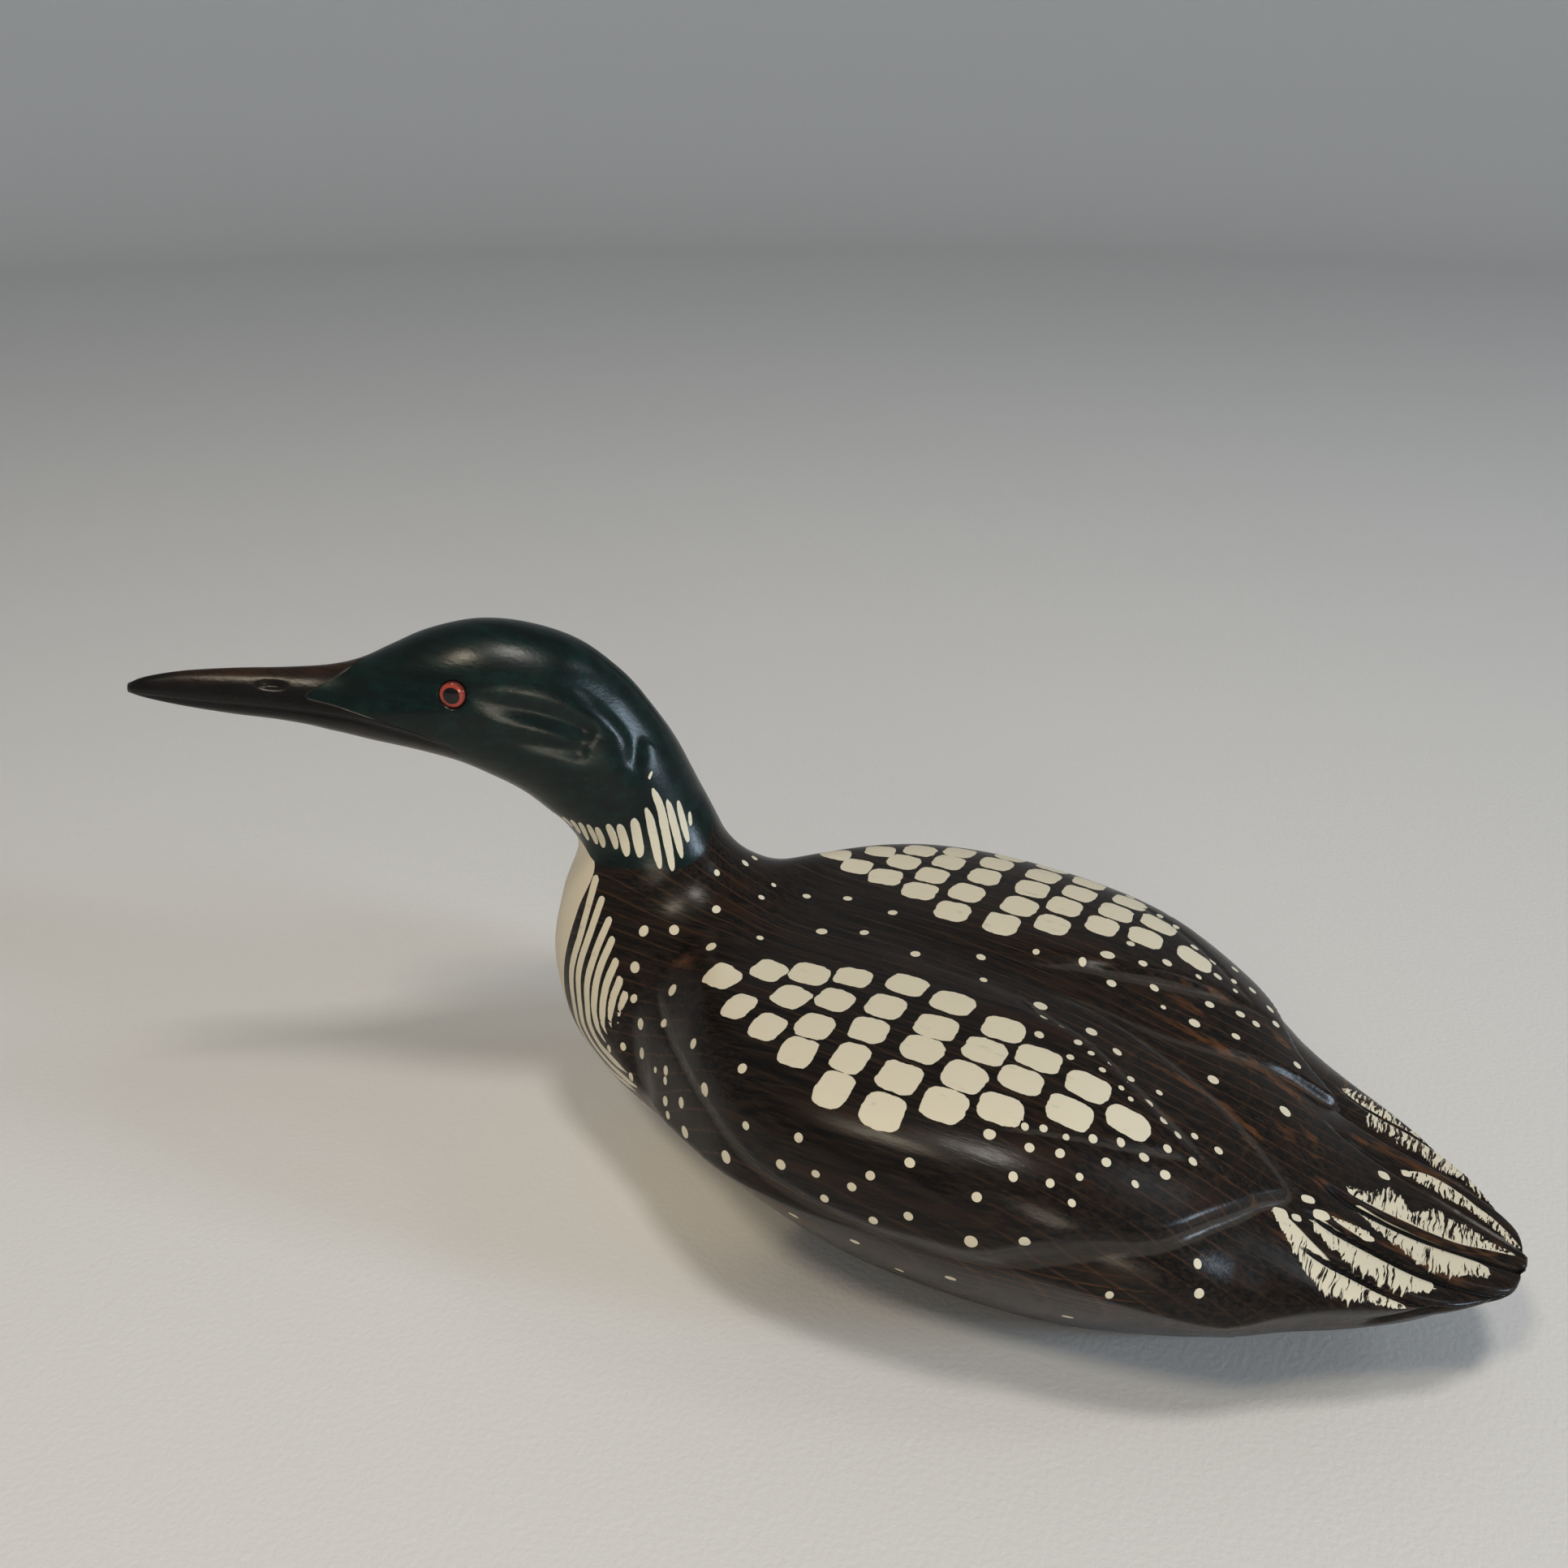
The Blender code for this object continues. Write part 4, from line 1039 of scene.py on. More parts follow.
    def strokes(self) -> np.ndarray:
        """Place in the nearest band of tail strokes, at every corner of every face.

        Returns:
            The place along the tail, how far from the clean line towards the ragged one it
            is, and the band's cover, each corner's three in a row.
        """
        x, y, z = self.skin.points.T
        corners = np.tile((0.0, self.band_off, 0.0), (*self.faces.shape, 1))
        best = np.full(len(self.faces), self.band_catch)
        for number, band in enumerate(TAIL_BANDS):
            clean = fine_line(band.clean)
            ragged = fine_line(band.ragged)
            start = np.interp(x, clean[:, 0], clean[:, 1])
            width = np.interp(x, ragged[:, 0], ragged[:, 1]) - start
            share = (y - start) / width
            ends = np.maximum(clean[0, 0] - x, 0.0) + np.maximum(x - clean[-1, 0], 0.0)
            share = np.where(ends > 0.0, 0.5 + np.sign(share - 0.5) * (np.abs(share - 0.5) + ends), share)
            good = (z > self.band_bottom) & (self.skin.normals[:, 2] > 0.0)
            off = np.where(good, np.abs(share - 0.5), self.band_off)[self.faces].mean(axis=1)
            taken = off < best
            best[taken] = off[taken]
            row = np.stack([x + self.band_offset * number, share, np.full(len(x), band.cover)], 1)
            corners[taken] = row[self.faces[taken]]
        return corners

    def wear_and_painted_light(self) -> np.ndarray:
        """The carving's relief, whose creases take dust and, on the tail, painted shade; the browned top of
        the bill; and a pale line along the wing's front cut, partly dust and partly a painted highlight,
        with the scraped spots.
        """
        rings = self.skin.depth
        soft = rings.copy()
        for _ in range(self.smoothings):
            soft = (np.roll(soft, 1, 1) + soft + np.roll(soft, -1, 1)) / 3
            padded = np.pad(soft, ((1, 1), (0, 0)), mode="edge")
            soft = (padded[:-2] + soft + padded[2:]) / 3
        # The carving's relief: its hollows take pale dust, and on the tail they take painted shade.
        relief = (rings - soft).ravel()
        forward = self.forward()
        culmen = ramp(forward, *self.culmen_start) * ramp(-forward, *self.culmen_end)
        culmen = culmen * ramp(-self.skin.girth, *self.culmen_girth)
        beside = np.stack([self.skin.points[:, 0], self.skin.side, self.skin.points[:, 2]], 1)
        # A pale line along the front of the wing's lower cut: partly dust, partly a painted highlight of
        # the cut's edge.
        cut = fine_line([point[:3] for point in WING_LOWER_EDGE[: self.dust_glint_line_points]])
        gap, share = line_distance(beside, cut)
        ends = ramp(share, *self.dust_glint_start) * ramp(1.0 - share, *self.dust_glint_end)
        scuff_and_glint = bump(gap, self.scuff_and_glint_width) * ends
        scrape, _ = line_distance(beside, fine_line(SCRAPED_LINE))
        scuff_and_glint = np.maximum(scuff_and_glint, np.where(self.skin.left, bump(scrape, self.scuff_and_glint_width), 0.0))
        rubbed = bump(np.linalg.norm(beside - RUBBED_SPOT, axis=1), self.rub_width)
        browned = np.maximum(culmen, np.where(self.skin.left, rubbed, 0.0))
        return np.stack([relief, browned, scuff_and_glint], 1)


class Recipe:
    """Adds nodes to one material and wires them."""

    def __init__(self, name: str) -> None:
        """Start a material with its surface shader.

        Args:
            name: The material's name.
        """
        self.material = bpy.data.materials.new(name)
        self.material.use_nodes = True
        self.tree = self.material.node_tree
        self.shader = self.tree.nodes["Principled BSDF"]

    def put(self, socket: bpy.types.NodeSocket, value: object) -> None:
        """Set a socket to a value, or wire another socket to it."""
        if isinstance(value, bpy.types.NodeSocket):
            self.tree.links.new(value, socket)
        elif isinstance(value, tuple) and len(value) == 3 and socket.type == "RGBA":
            socket.default_value = (*value, 1.0)
        else:
            socket.default_value = value

    def surface(self, **values: object) -> None:
        """Set sockets of the surface shader, their names written with underscores."""
        for name, value in values.items():
            self.put(self.shader.inputs[name.replace("_", " ")], value)

    def place(self) -> bpy.types.NodeSocket:
        """The object's own coordinates."""
        return self.tree.nodes.new("ShaderNodeTexCoord").outputs["Object"]

    def attribute(self, name: str) -> bpy.types.NodeSocket:
        """A vector kept on the mesh."""
        node = self.tree.nodes.new("ShaderNodeAttribute")
        node.attribute_name = name
        return node.outputs["Vector"]

    def parts(self, vector: bpy.types.NodeSocket) -> tuple[bpy.types.NodeSocket, ...]:
        """The three parts of a vector."""
        node = self.tree.nodes.new("ShaderNodeSeparateXYZ")
        self.put(node.inputs[0], vector)
        return tuple(node.outputs)

    def joined(self, x: object, y: object, z: object) -> bpy.types.NodeSocket:
        """A vector of three parts."""
        node = self.tree.nodes.new("ShaderNodeCombineXYZ")
        for socket, value in zip(node.inputs, (x, y, z)):
            self.put(socket, value)
        return node.outputs[0]

    def maths(self, operation: str, first: object, second: object = None) -> bpy.types.NodeSocket:
        """One sum of one or two values."""
        node = self.tree.nodes.new("ShaderNodeMath")
        node.operation = operation
        self.put(node.inputs[0], first)
        if second is not None:
            self.put(node.inputs[1], second)
        return node.outputs[0]

    def times(self, first: object, *others: object) -> bpy.types.NodeSocket:
        """The product of two or more values."""
        for other in others:
            first = self.maths("MULTIPLY", first, other)
        return first

    def plus(self, first: object, *others: object) -> bpy.types.NodeSocket:
        """The sum of two or more values."""
        for other in others:
            first = self.maths("ADD", first, other)
        return first

    def grain(self, vector: bpy.types.NodeSocket, grain: Grain) -> bpy.types.NodeSocket:
        """Noise that is stretched by its own scale on each axis."""
        node = self.tree.nodes.new("ShaderNodeMapping")
        self.put(node.inputs["Vector"], vector)
        node.inputs["Scale"].default_value = grain.scale
        return self.noise(node.outputs[0], 1.0, grain.detail, grain.roughness)

    def noise(self, vector: bpy.types.NodeSocket, scale: float, detail: float,
              roughness: float = 0.5) -> bpy.types.NodeSocket:
        """Soft random noise from 0 to 1."""
        node = self.tree.nodes.new("ShaderNodeTexNoise")
        self.put(node.inputs["Vector"], vector)
        node.inputs["Scale"].default_value = scale
        node.inputs["Detail"].default_value = detail
        node.inputs["Roughness"].default_value = roughness
        return node.outputs[0]

    def step(self, value: bpy.types.NodeSocket, low: float, high: float,
             start: float = 0.0, end: float = 1.0) -> bpy.types.NodeSocket:
        """Change smoothly from one value to another as the input passes from low to high."""
        node = self.tree.nodes.new("ShaderNodeMapRange")
        node.interpolation_type = "SMOOTHSTEP"
        self.put(node.inputs["Value"], value)
        for name, number in (("From Min", low), ("From Max", high), ("To Min", start), ("To Max", end)):
            node.inputs[name].default_value = number
        return node.outputs[0]

    def mixed(self, share: object, first: object, second: object) -> bpy.types.NodeSocket:
        """One colour over another."""
        node = self.tree.nodes.new("ShaderNodeMix")
        node.data_type = "RGBA"
        sockets = [socket for socket in node.inputs if socket.type == "RGBA"]
        self.put(node.inputs[0], share)
        self.put(sockets[0], first)
        self.put(sockets[1], second)
        return next(socket for socket in node.outputs if socket.type == "RGBA")

    def relief(self, height: bpy.types.NodeSocket, distance: float, strength: float,
               under: bpy.types.NodeSocket | None = None) -> bpy.types.NodeSocket:
        """A bump of a height map, over another bump."""
        node = self.tree.nodes.new("ShaderNodeBump")
        node.inputs["Distance"].default_value = distance
        node.inputs["Strength"].default_value = strength
        self.put(node.inputs["Height"], height)
        if under is not None:
            self.put(node.inputs["Normal"], under)
        return node.outputs[0]


@dataclass(frozen=True)
class PaintedWood:
    """Dark stained wood with cream marks, a green head and a black bill, satin varnished."""

    stain: tuple[float, float, float] = (0.0050, 0.0040, 0.0034)
    stain_light: tuple[float, float, float] = (0.019, 0.0130, 0.0094)
    stain_red: tuple[float, float, float] = (0.021, 0.0105, 0.0062)
    line: tuple[float, float, float] = (0.050, 0.026, 0.014)
    band: tuple[float, float, float] = (0.15, 0.058, 0.020)
    cream: tuple[float, float, float] = (0.66, 0.60, 0.46)
    cream_thin: tuple[float, float, float] = (0.52, 0.48, 0.37)
    smudge: tuple[float, float, float] = (0.36, 0.37, 0.31)
    bib: tuple[float, float, float] = (0.66, 0.59, 0.45)
    green: tuple[float, float, float] = (0.0018, 0.0062, 0.0055)
    green_light: tuple[float, float, float] = (0.0030, 0.0150, 0.0126)
    bill: tuple[float, float, float] = (0.0052, 0.0040, 0.0034)
    bill_brown: tuple[float, float, float] = (0.026, 0.0125, 0.0068)
    # Pale dust in the carving's creases; the same colour makes the pale line along the wing's front cut,
    # partly dust and partly a painted highlight of that cut's edge.
    dust_and_glint: tuple[float, float, float] = (0.075, 0.066, 0.056)
    # Painted shade: near black laid into the cuts between the tail feathers, where the grooves lie in
    # shade.
    crease_shade_colour: tuple[float, float, float] = (0.0022, 0.0018, 0.0016)
    fibre: Grain = Grain((34.0, 900.0, 900.0), 5.0, 0.6)
    streak: Grain = Grain((8.0, 150.0, 150.0), 3.0, 0.6)
    cloud: Grain = Grain((7.0, 20.0, 30.0), 2.0)
    sway: Grain = Grain((5.0, 12.0, 8.0), 2.0)
    broad: Grain = Grain((14.0, 120.0, 90.0), 3.0, 0.6)
    mottle: Grain = Grain((60.0, 220.0, 220.0), 4.0, 0.6)
    brush: Grain = Grain((130.0, 400.0, 400.0), 3.0)
    pores: Grain = Grain((60.0, 900.0, 900.0), 4.0, 0.6)
    sway_height: float = 0.016
    sawn_slope: tuple[float, float, float] = (0.10, 0.8, 0.5)
    sawn_lines_per_metre: float = 240.0
    level_slope: float = 0.05
    level_lines_per_metre: float = 290.0
    rump_share: float = 0.5
    dust_share: float = 0.35
    # How far the painted shade darkens the tail's cuts, and how strongly the pale line along the wing's
    # front cut shows, partly dust and partly a painted highlight.
    crease_shade_share: float = 0.8
    scuff_and_glint_share: float = 0.7
    rub_share: float = 0.45
    smudge_share: float = 0.5
    paint_roughness: float = 0.16
    satin: tuple[float, float] = (0.23, 0.31)
    wood_and_paint_gloss: tuple[float, float] = (0.17, 0.26)
    tail_start: tuple[float, float] = (0.106, 0.114)
    field_edge: tuple[float, float] = (-0.15, 0.15)
    bib_edge: tuple[float, float] = (-0.12, 0.12)
    mark_edge: tuple[float, float] = (0.985, 1.015)
    mark_shake: float = 0.28
    bristle_reach: tuple[float, float] = (0.42, 1.05)
    bristle_swerve: float = 2.4
    bristle_thinning: float = 0.09
    pore_depth: float = 0.0002
    paint_thickness: float = 0.00022
    bill_edge_depth: float = 0.0004

    def wood(self, mix: Recipe) -> bpy.types.NodeSocket:
        """Stain over wood whose growth lines lie level, so that they ring the slopes like contours."""
        place = mix.place()
        x, y, z = mix.parts(place)
        fibre = mix.grain(place, self.fibre)
        cloud = mix.grain(place, self.cloud)
        sway = mix.times(mix.grain(place, self.sway), self.sway_height)
        broken = mix.step(fibre, 0.30, 0.52, 0.25, 1.0)
        stained = mix.mixed(mix.step(fibre, 0.38, 0.70), self.stain, self.stain_light)
        red = mix.step(mix.grain(place, self.streak), 0.5, 0.75)
        stained = mix.mixed(red, stained, self.stain_red)
        slopes = [mix.times(part, slope) for part, slope in zip((x, y, z), self.sawn_slope)]
        sawn = self.growth_line(mix, mix.plus(*slopes, sway), self.sawn_lines_per_metre)
        shown = mix.times(sawn, mix.step(cloud, 0.36, 0.56, 0.15, 0.7), broken)
        stained = mix.mixed(shown, stained, self.line)
        height = mix.plus(z, mix.times(y, self.level_slope), sway)
        level = self.growth_line(mix, height, self.level_lines_per_metre)
        flank = mix.times(mix.step(z, 0.050, 0.064, 1.0, 0.12), mix.step(x, -0.02, 0.06, 0.3, 0.6))
        shown = mix.times(level, mix.step(cloud, 0.44, 0.62), broken, flank)
        stained = mix.mixed(shown, stained, self.band)
        rump = mix.times(
            mix.step(x, 0.045, 0.075),
            mix.step(z, 0.040, 0.050),
            mix.step(mix.maths("ABSOLUTE", y), 0.034, 0.050, 1.0, 0.0),
        )
        shown = mix.times(mix.step(mix.grain(place, self.broad), 0.56, 0.66), rump, broken)
        return mix.mixed(mix.times(shown, self.rump_share), stained, self.band)

    def growth_line(self, mix: Recipe, across: bpy.types.NodeSocket,
                    lines_per_metre: float) -> bpy.types.NodeSocket:
        """Thin lines at an even distance across the wood."""
        year = mix.maths("FRACT", mix.times(across, lines_per_metre))
        return mix.times(mix.step(year, 0.0, 0.04), mix.step(year, 0.08, 0.20, 1.0, 0.0))

    def mark_mask(self, mix: Recipe) -> bpy.types.NodeSocket:
        """1 inside a painted mark, with a slightly unsteady edge."""
        first, second, power = mix.parts(mix.attribute("mark"))
        raised = [mix.maths("POWER", mix.maths("ABSOLUTE", part), power) for part in (first, second)]
        far = mix.maths("POWER", mix.plus(*raised), mix.maths("DIVIDE", 1.0, power))
        shake = mix.times(mix.plus(mix.noise(mix.place(), 260.0, 2.0), -0.5), self.mark_shake)
        inside = mix.step(mix.plus(far, shake), *self.mark_edge, 1.0, 0.0)
        return mix.times(inside, mix.step(power, 0.5, 1.0))

    def tail_mask(self, mix: Recipe) -> bpy.types.NodeSocket:
        """1 where the brush left cream strokes on the tail feathers."""
        lengthwise, share, cover = mix.parts(mix.attribute("strokes"))
        swerve = mix.times(mix.noise(mix.place(), 160.0, 1.0), self.bristle_swerve)
        run = mix.plus(lengthwise, swerve)
        teeth = mix.noise(mix.joined(run, 0.0, 0.0), 0.42, 2.0, 0.8)
        comb = mix.noise(mix.joined(run, mix.times(share, 0.9), 0.0), 1.15, 2.0, 0.65)
        least, more = self.bristle_reach
        left = mix.maths("SUBTRACT", mix.plus(least, mix.times(teeth, more)), share)
        inside = mix.times(mix.step(left, -0.02, 0.04), mix.step(share, -0.03, 0.03))
        wanted = mix.plus(comb, mix.plus(cover, -0.5), mix.times(share, -self.bristle_thinning))
        return mix.times(inside, mix.step(wanted, 0.45, 0.49), mix.step(cover, 0.2, 0.3))

    def build(self) -> bpy.types.Material:
        """Make the material.

        Returns:
            The finished material.
        """
        mix = Recipe("painted_carved_wood")
        place = mix.place()
        green_in, bib_in, bill_in = mix.parts(mix.attribute("fields"))
        relief, browned, scuff_and_glint = mix.parts(mix.attribute("wear_and_painted_light"))
        on_tail = mix.step(mix.parts(place)[0], *self.tail_start)
        # Painted shade: on the tail, the carving's cuts are darkened towards near black.
        crease_shade = mix.times(mix.step(relief, -0.04, -0.14), on_tail)
        dusty = mix.maths("MAXIMUM", mix.maths("SUBTRACT", mix.step(relief, -0.06, -0.22), on_tail), 0.0)
        # A pale line along the wing's front cut, partly dust and partly a painted highlight of the cut's
        # edge, and the scraped paint on the left side.
        scuff_and_glint_mask = mix.times(scuff_and_glint, mix.step(mix.noise(place, 420.0, 3.0, 0.7), 0.42, 0.60))
        mottle = mix.grain(place, self.mottle)
        rubbed = mix.times(browned, mix.step(mottle, 0.40, 0.62), self.rub_share)
        body = mix.mixed(mix.times(dusty, self.dust_share), self.wood(mix), self.dust_and_glint)
        body = mix.mixed(mix.times(crease_shade, self.crease_shade_share), body, self.crease_shade_colour)
        body = mix.mixed(mix.times(mix.step(scuff_and_glint_mask, 0.25, 0.9), self.scuff_and_glint_share), body, self.dust_and_glint)
        body = mix.mixed(rubbed, body, self.band)
        head = mix.mixed(mix.step(mottle, 0.38, 0.72), self.green, self.green_light)
        body = mix.mixed(mix.step(green_in, *self.field_edge), body, head)
        browner = mix.times(browned, mix.step(mottle, 0.3, 0.6))
        bill = mix.mixed(browner, self.bill, self.bill_brown)
        body = mix.mixed(mix.step(bill_in, *self.field_edge), body, bill)
        brushed = mix.step(mix.grain(place, self.brush), 0.62, 0.8)
        cream = mix.mixed(brushed, self.cream, self.cream_thin)
        spot = mix.step(mix.noise(place, 85.0, 4.0, 0.7), 0.66, 0.76)
        cream = mix.mixed(mix.times(spot, self.smudge_share), cream, self.smudge)
        # The cream strokes are kept out of the painted shade in the tail's cuts.
        strokes = mix.times(self.tail_mask(mix), mix.maths("SUBTRACT", 1.0, crease_shade))
        painted = mix.maths("MAXIMUM", self.mark_mask(mix), strokes)
        bib = mix.times(mix.step(bib_in, *self.bib_edge), mix.step(green_in, *self.bib_edge, 1.0, 0.0))
        colour = mix.mixed(painted, mix.mixed(bib, body, self.bib), cream)
        pale = mix.maths("MAXIMUM", painted, bib)
        satin = mix.step(mix.noise(place, 55.0, 3.0), 0.3, 0.7, *self.satin)
        rough = mix.plus(satin, mix.times(pale, self.paint_roughness))
        gloss = mix.step(green_in, *self.field_edge, *self.wood_and_paint_gloss)
        lift = mix.relief(mix.grain(place, self.pores), self.pore_depth, 0.35)
        lift = mix.relief(pale, self.paint_thickness, 0.6, lift)
        lift = mix.relief(mix.step(bill_in, -0.25, 0.25), self.bill_edge_depth, 0.8, lift)
        mix.surface(Base_Color=colour, Roughness=rough, Normal=lift, Specular_IOR_Level=gloss)
        return mix.material


@dataclass(frozen=True)
class GlassEyeFinish:
    """A black pupil in a coral red ring under clear glass."""

    pupil: tuple[float, float, float] = (0.004, 0.003, 0.003)
    ring: tuple[float, float, float] = (0.33, 0.048, 0.028)
    ring_dark: tuple[float, float, float] = (0.11, 0.02, 0.014)
    pupil_radius: float = 2.7
    ring_radius: float = 3.8
    pupil_blur: float = 0.12
    rim: tuple[float, float] = (-0.1, 0.15)
    roughness: float = 0.06
    gloss: float = 0.4

    def build(self) -> bpy.types.Material:
        """Make the material."""
        mix = Recipe("coral_ringed_glass")
        far, _, _ = mix.parts(mix.attribute("from_axis"))
        speck = mix.noise(mix.place(), 900.0, 3.0)
        red = mix.mixed(mix.step(speck, 0.55, 0.8), self.ring, self.ring_dark)
        inner = mix.step(far, self.pupil_radius - self.pupil_blur, self.pupil_radius + self.pupil_blur)
        outer = mix.step(far, *(self.ring_radius + part for part in self.rim))
        colour = mix.mixed(outer, mix.mixed(inner, self.pupil, red), self.ring_dark)
        mix.surface(Base_Color=colour, Roughness=self.roughness, Specular_IOR_Level=self.gloss)
        return mix.material


@dataclass(frozen=True)
class PaleBoard:
    """A plain pale matt surface with a faint tooth."""

    colour: tuple[float, float, float] = (0.74, 0.73, 0.715)
    teeth_per_metre: float = 500.0
    tooth_depth: float = 0.0008
    tooth_strength: float = 0.25
    roughness: float = 0.6

    def build(self) -> bpy.types.Material:
        """Make the material."""
        mix = Recipe("pale_board")
        tooth = mix.noise(mix.place(), self.teeth_per_metre, 3.0)
        lift = mix.relief(tooth, self.tooth_depth, self.tooth_strength)
        mix.surface(Base_Color=self.colour, Roughness=self.roughness, Normal=lift)
        return mix.material


@dataclass
class CarvedLoon:
    """The whole bird in one block of wood: body, wings, tail, neck, head and bill."""

    skin: Skin = field(default_factory=Skin)
    gouges: Gouges = field(default_factory=Gouges)
    socket_diameter: float = 9.0
    socket_depth: float = 2.9
    socket_reach: float = 8.0
    socket_sides: int = 64
    off_marks: tuple[float, float, float] = (9.0, 9.0, 9.0)
    off_bands: tuple[float, float, float] = (0.0, 9.0, 0.0)

    def points(self) -> tuple[SkinPoints, np.ndarray]:
        """Carve the skin.

        Returns:
            The points before the head turns, and their places afterwards, as closed rings.
        """
        grid, girth, places = self.skin.grid()
        normals = self.skin.outward(grid)
        depths = {side: self.gouges.depth(grid, girth, WING_TIPS[side]) for side in Side}
        halves = {side: grid + normals * depths[side][..., None] for side in Side}
        to_left = np.array((1.0, -1.0, 1.0))
        back = slice(-2, 0, -1)

        def closed(left: np.ndarray, right: np.ndarray) -> np.ndarray:
            """Join a left and a right half into whole rings."""
            return np.concatenate([left, right[:, back]], axis=1)

        rings = closed(halves[Side.LEFT] * to_left, halves[Side.RIGHT])
        ring_normals = closed(normals * to_left, normals)
        whole = SkinPoints(
            points=rings.reshape(-1, 3),
            normals=ring_normals.reshape(-1, 3),
            around=np.gradient(rings, axis=1).reshape(-1, 3),
            girth=closed(girth, girth).ravel(),
            depth=closed(depths[Side.LEFT], depths[Side.RIGHT]),
        )
        return whole, self.skin.turn_head(rings, places)

    def faces(self, rings: np.ndarray) -> np.ndarray:
        """Four-sided faces between the rings, each facing outward."""
        count, columns = rings.shape[:2]
        number = np.arange(count * columns).reshape(count, columns)
        following = np.roll(number, -1, axis=1)
        quads = np.stack([number[:-1], number[1:], following[1:], following[:-1]], axis=-1)
        return quads.reshape(-1, 4)

    def mesh(self) -> bpy.types.Object:
        """The closed mesh with its paint coordinates, head turned."""
        whole, rings = self.points()
        faces = self.faces(rings)
        corners = rings.reshape(-1, 3) * MM
        columns = rings.shape[1]
        last = len(corners) - columns
        ends = [list(range(columns)), list(range(last, last + columns))[::-1]]
        plan = PaintPlan(whole, faces)
        made = bpy.data.meshes.new("carved_painted_loon")
        made.from_pydata(corners.tolist(), [], faces.tolist() + ends)
        for name, values, off in (
            ("mark", plan.marks(), self.off_marks),
            ("strokes", plan.strokes(), self.off_bands),
        ):
            rows = np.tile(np.array(off), (len(made.loops), 1))
            rows[: faces.size] = values.reshape(-1, 3)
            keep_vectors(made, name, "CORNER", rows)
        keep_vectors(made, "fields", "POINT", plan.fields())
        keep_vectors(made, "wear_and_painted_light", "POINT", plan.wear_and_painted_light())
        made.update()
        piece = bpy.data.objects.new("carved_painted_loon", made)
        bpy.context.scene.collection.objects.link(piece)
        return piece

    def close_and_plane(self, piece: bpy.types.Object) -> None:
        """Plane the underside flat, close it and the two ends, and turn every face outward."""
        builder = bmesh.new()
        builder.from_mesh(piece.data)
        bmesh.ops.bisect_plane(
            builder, geom=builder.verts[:] + builder.edges[:] + builder.faces[:],
            plane_co=(0, 0, 0), plane_no=(0, 0, 1), clear_inner=True,
        )
        rim = [edge for edge in builder.edges if edge.is_boundary]
        bmesh.ops.contextual_create(builder, geom=rim)
        bmesh.ops.recalc_face_normals(builder, faces=builder.faces)
        bmesh.ops.triangulate(builder, faces=[face for face in builder.faces if len(face.verts) > 4])
        builder.to_mesh(piece.data)
        builder.free()
        piece.data.shade_smooth()

    def cut_sockets(self, piece: bpy.types.Object, eyes: "GlassEyes") -> bpy.types.Object:
        """Cut the two eye sockets.

        Args:
            piece: The closed carving.
            eyes: The eyes that sit in them.

        Returns:
            The carving with its sockets, as a plain mesh.
        """
        cutters = []
        radius = self.socket_diameter / 2
        heights = (self.socket_reach, -self.socket_depth)
        profile = [(0.0, heights[0]), *((radius, height) for height in heights), (0.0, heights[1])]
        for side in Side:
            name = f"{side.name.lower()}_socket_cutter"
            cutter = turned_solid(profile, eyes.seat(side), name, self.socket_sides)
            cut = piece.modifiers.new(cutter.name, "BOOLEAN")
            cut.operation = "DIFFERENCE"
            cut.object = cutter
            cut.solver = "EXACT"
            cutters.append(cutter)
        piece = finished(piece)
        for cutter in cutters:
            bpy.data.objects.remove(cutter, do_unlink=True)
        return piece

    def build(self, eyes: "GlassEyes") -> bpy.types.Object:
        """Make and dress the carving."""
        piece = self.mesh()
        self.close_and_plane(piece)
        piece = self.cut_sockets(piece, eyes)
        piece.data.materials.clear()
        piece.data.materials.append(PaintedWood().build())
        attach(piece, "root")
        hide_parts("carved_loon")
        return piece


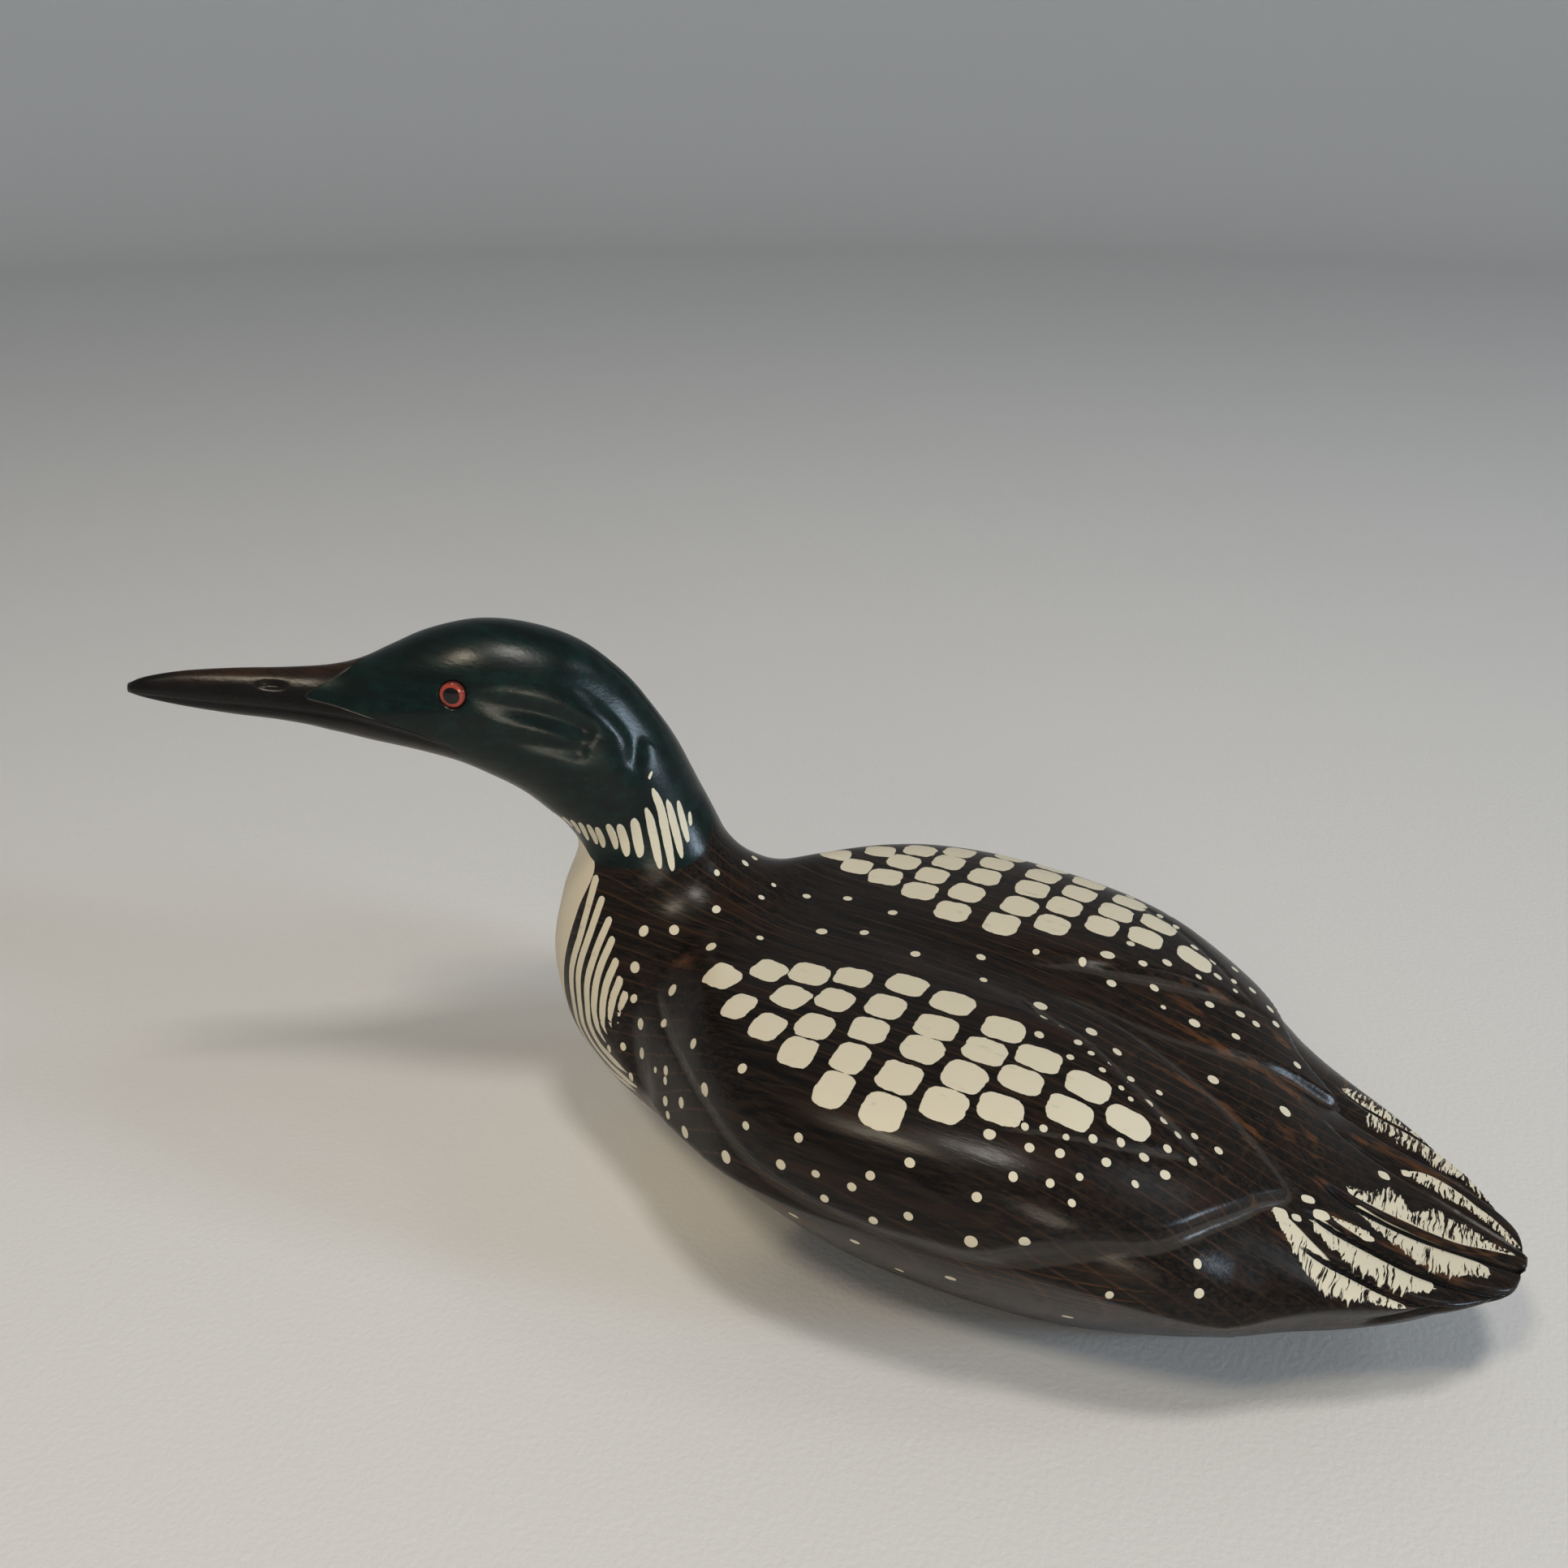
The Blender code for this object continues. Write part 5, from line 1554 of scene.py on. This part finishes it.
@dataclass
class GlassEyes:
    """Two glass eyes set in the sides of the head."""

    diameter: float = 8.4
    dome: float = 1.4
    back_depth: float = 2.6
    forward: float = 61.5
    height: float = 175.4
    side: float = 18.2
    toe_out: float = radians(12.0)
    tilt_up: float = radians(4.0)
    neck_axis_x: float = NECK_AXIS_X
    head_turn: float = HEAD_TURN
    sides: int = 64
    dome_steps: int = 14
    button_waist: float = 0.6
    button_share: float = 0.7

    def seat(self, side: Side) -> Matrix:
        """Where an eye sits and which way it looks: a frame whose +Z points out of the head."""
        forward = Vector((-cos(self.head_turn), -sin(self.head_turn), 0.0))
        out = Vector((sin(self.head_turn), -cos(self.head_turn), 0.0)) * -side.value
        centre = Vector((self.neck_axis_x, 0.0, self.height)) + forward * self.forward + out * self.side
        looking = out * cos(self.toe_out) + forward * sin(self.toe_out)
        looking = (looking * cos(self.tilt_up) + Vector((0.0, 0.0, 1.0)) * sin(self.tilt_up)).normalized()
        return Matrix.Translation(centre * MM) @ looking.to_track_quat("Z", "Y").to_matrix().to_4x4()

    def profile(self) -> list[tuple[float, float]]:
        """Half section of an eye: a raised ring round a low clear dome, a shallow button behind."""
        radius = self.diameter / 2
        angles = np.linspace(0.0, pi / 2, self.dome_steps)
        dome = [(radius * sin(angle), self.dome * cos(angle)) for angle in angles]
        button = [
            (radius, -self.back_depth * self.button_waist),
            (radius * self.button_share, -self.back_depth),
            (0.0, -self.back_depth),
        ]
        return dome + button

    def build(self) -> list[bpy.types.Object]:
        """Make and dress both eyes."""
        glass = GlassEyeFinish().build()
        made = []
        for side in Side:
            name = side.name.lower()
            seat = self.seat(side)
            piece = turned_solid(self.profile(), seat, f"{name}_glass_eye", self.sides)
            back = seat.inverted()
            local = [back @ vertex.co for vertex in piece.data.vertices]
            far = np.array([(point.xy.length / MM, 0.0, 0.0) for point in local])
            keep_vectors(piece.data, "from_axis", "POINT", far)
            piece.data.materials.append(glass)
            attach(piece, "root")
            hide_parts(f"{name}_eye")
            made.append(piece)
        return made


class Lamp(NamedTuple):
    """A soft rectangular light: place and size in metres, power in watts, and colour."""

    name: str
    place: tuple[float, float, float]
    size: tuple[float, float]
    power: float
    colour: tuple[float, float, float]


LAMPS = (
    Lamp("window", (3.10, 0.22, 0.98), (0.40, 0.70), 44.0, (0.66, 0.83, 1.0)),
    Lamp("skylight", (2.10, 0.75, 2.30), (0.5, 0.5), 5.0, (0.86, 0.93, 1.0)),
    Lamp("ceiling", (0.27, -0.38, 1.70), (0.26, 0.22), 8.0, (1.0, 0.95, 0.88)),
    Lamp("warm_lamp", (-0.22, -1.02, 1.65), (0.24, 0.24), 8.5, (1.0, 0.86, 0.66)),
    Lamp("room_lamp", (0.85, -1.50, 0.50), (0.4, 0.4), 5.0, (1.0, 0.88, 0.70)),
)


@dataclass
class Studio:
    """A pale round sweep, soft light, and the camera at the photograph's angle."""

    camera_place: tuple[float, float, float] = (0.12285, -0.390, 0.351)
    camera_down: float = radians(25.5)
    camera_left: float = radians(26.0)
    focal_length: float = 34.47
    floor_radius: float = 3000.0
    cove_radius: float = 800.0
    wall_height: float = 3200.0
    cove_steps: int = 10
    sweep_sides: int = 96
    lamps_aim: tuple[float, float, float] = (-0.03, 0.0, 0.1)
    room_colour: tuple[float, float, float, float] = (0.93, 0.96, 1.0, 1.0)
    room_strength: float = 0.19
    sensor_width: float = 36.0

    def backdrop(self) -> bpy.types.Object:
        """A round floor that sweeps up into a wall, far enough off to leave every side in view."""
        angles = np.linspace(0.0, pi / 2, self.cove_steps)
        cove = [
            (self.floor_radius + self.cove_radius * sin(angle), self.cove_radius * (1.0 - cos(angle)))
            for angle in angles
        ]
        rim = (self.floor_radius + self.cove_radius, self.wall_height)
        sweep = turned_solid([(0.0, 0.0), *cove, rim], Matrix.Identity(4), "studio_sweep", self.sweep_sides)
        sweep.data.materials.append(PaleBoard().build())
        return sweep

    def lights(self) -> None:
        """A cool window beyond the tail, warm lamps overhead and in front, and an even room."""
        for lamp in LAMPS:
            data = bpy.data.lights.new(lamp.name, "AREA")
            data.shape = "RECTANGLE"
            data.size, data.size_y = lamp.size
            data.energy = lamp.power
            data.color = lamp.colour
            made = bpy.data.objects.new(lamp.name, data)
            made.location = lamp.place
            away = Vector(self.lamps_aim) - Vector(lamp.place)
            made.rotation_euler = away.to_track_quat("-Z", "Y").to_euler()
            bpy.context.scene.collection.objects.link(made)
        world = bpy.data.worlds.new("even_room")
        world.use_nodes = True
        background = world.node_tree.nodes["Background"]
        background.inputs["Color"].default_value = self.room_colour
        background.inputs["Strength"].default_value = self.room_strength
        bpy.context.scene.world = world

    def camera(self) -> None:
        """The camera that sees the bird as the photograph does."""
        data = bpy.data.cameras.new("viewpoint")
        data.sensor_width = self.sensor_width
        data.lens = self.focal_length
        made = bpy.data.objects.new("viewpoint", data)
        made.location = self.camera_place
        looking = Vector((
            -sin(self.camera_left) * cos(self.camera_down),
            cos(self.camera_left) * cos(self.camera_down),
            -sin(self.camera_down),
        ))
        made.rotation_euler = looking.to_track_quat("-Z", "Y").to_euler()
        bpy.context.scene.collection.objects.link(made)
        bpy.context.scene.camera = made

    def build(self) -> None:
        """Set up the room."""
        bpy.context.scene.view_settings.view_transform = "Standard"
        self.backdrop()
        self.lights()
        self.camera()


def keep_vectors(mesh: bpy.types.Mesh, name: str, domain: str, rows: np.ndarray) -> None:
    """Keep a vector for every point or corner of a mesh, for its material to read."""
    layer = mesh.attributes.new(name, "FLOAT_VECTOR", domain)
    layer.data.foreach_set("vector", rows.astype(np.float32).ravel())


def turned_solid(profile: list[tuple[float, float]], seat: Matrix, name: str,
                 steps: int) -> bpy.types.Object:
    """Spin a half profile round the seat's axis into a closed solid.

    Args:
        profile: Points of (radius, height) in millimetres.
        seat: The frame whose +Z is the axis.
        name: The object's name.
        steps: How many sides the solid has.

    Returns:
        The solid, its place in its mesh.
    """
    builder = bmesh.new()
    chain = [builder.verts.new((radius * MM, 0.0, height * MM)) for radius, height in profile]
    edges = [builder.edges.new(pair) for pair in zip(chain, chain[1:])]
    bmesh.ops.spin(builder, geom=chain + edges, cent=(0, 0, 0), axis=(0, 0, 1), angle=2 * pi, steps=steps)
    bmesh.ops.remove_doubles(builder, verts=builder.verts, dist=1e-6)
    bmesh.ops.recalc_face_normals(builder, faces=builder.faces)
    bmesh.ops.transform(builder, matrix=seat, verts=builder.verts)
    mesh = bpy.data.meshes.new(name)
    builder.to_mesh(mesh)
    builder.free()
    mesh.shade_smooth()
    made = bpy.data.objects.new(name, mesh)
    bpy.context.scene.collection.objects.link(made)
    return made


def finished(piece: bpy.types.Object) -> bpy.types.Object:
    """Turn a piece with modifiers into a plain mesh of the same name."""
    graph = bpy.context.evaluated_depsgraph_get()
    mesh = bpy.data.meshes.new_from_object(piece.evaluated_get(graph))
    name = piece.name
    bpy.data.objects.remove(piece, do_unlink=True)
    mesh.name = name
    made = bpy.data.objects.new(name, mesh)
    bpy.context.scene.collection.objects.link(made)
    return made


def clear_startup() -> None:
    """Remove whatever the startup scene holds."""
    for thing in list(bpy.data.objects):
        bpy.data.objects.remove(thing, do_unlink=True)


def main() -> None:
    """Build the carving, its eyes and the room, and log each piece's triangle count."""
    logging.basicConfig(level=logging.INFO, format="%(name)s: %(message)s")
    clear_startup()
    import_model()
    eyes = GlassEyes()
    made = [CarvedLoon().build(eyes), *eyes.build()]
    Studio().build()
    for piece in made:
        piece.data.calc_loop_triangles()
        log.info("%s: %d triangles", piece.name, len(piece.data.loop_triangles))


if __name__ == "__main__":
    main()
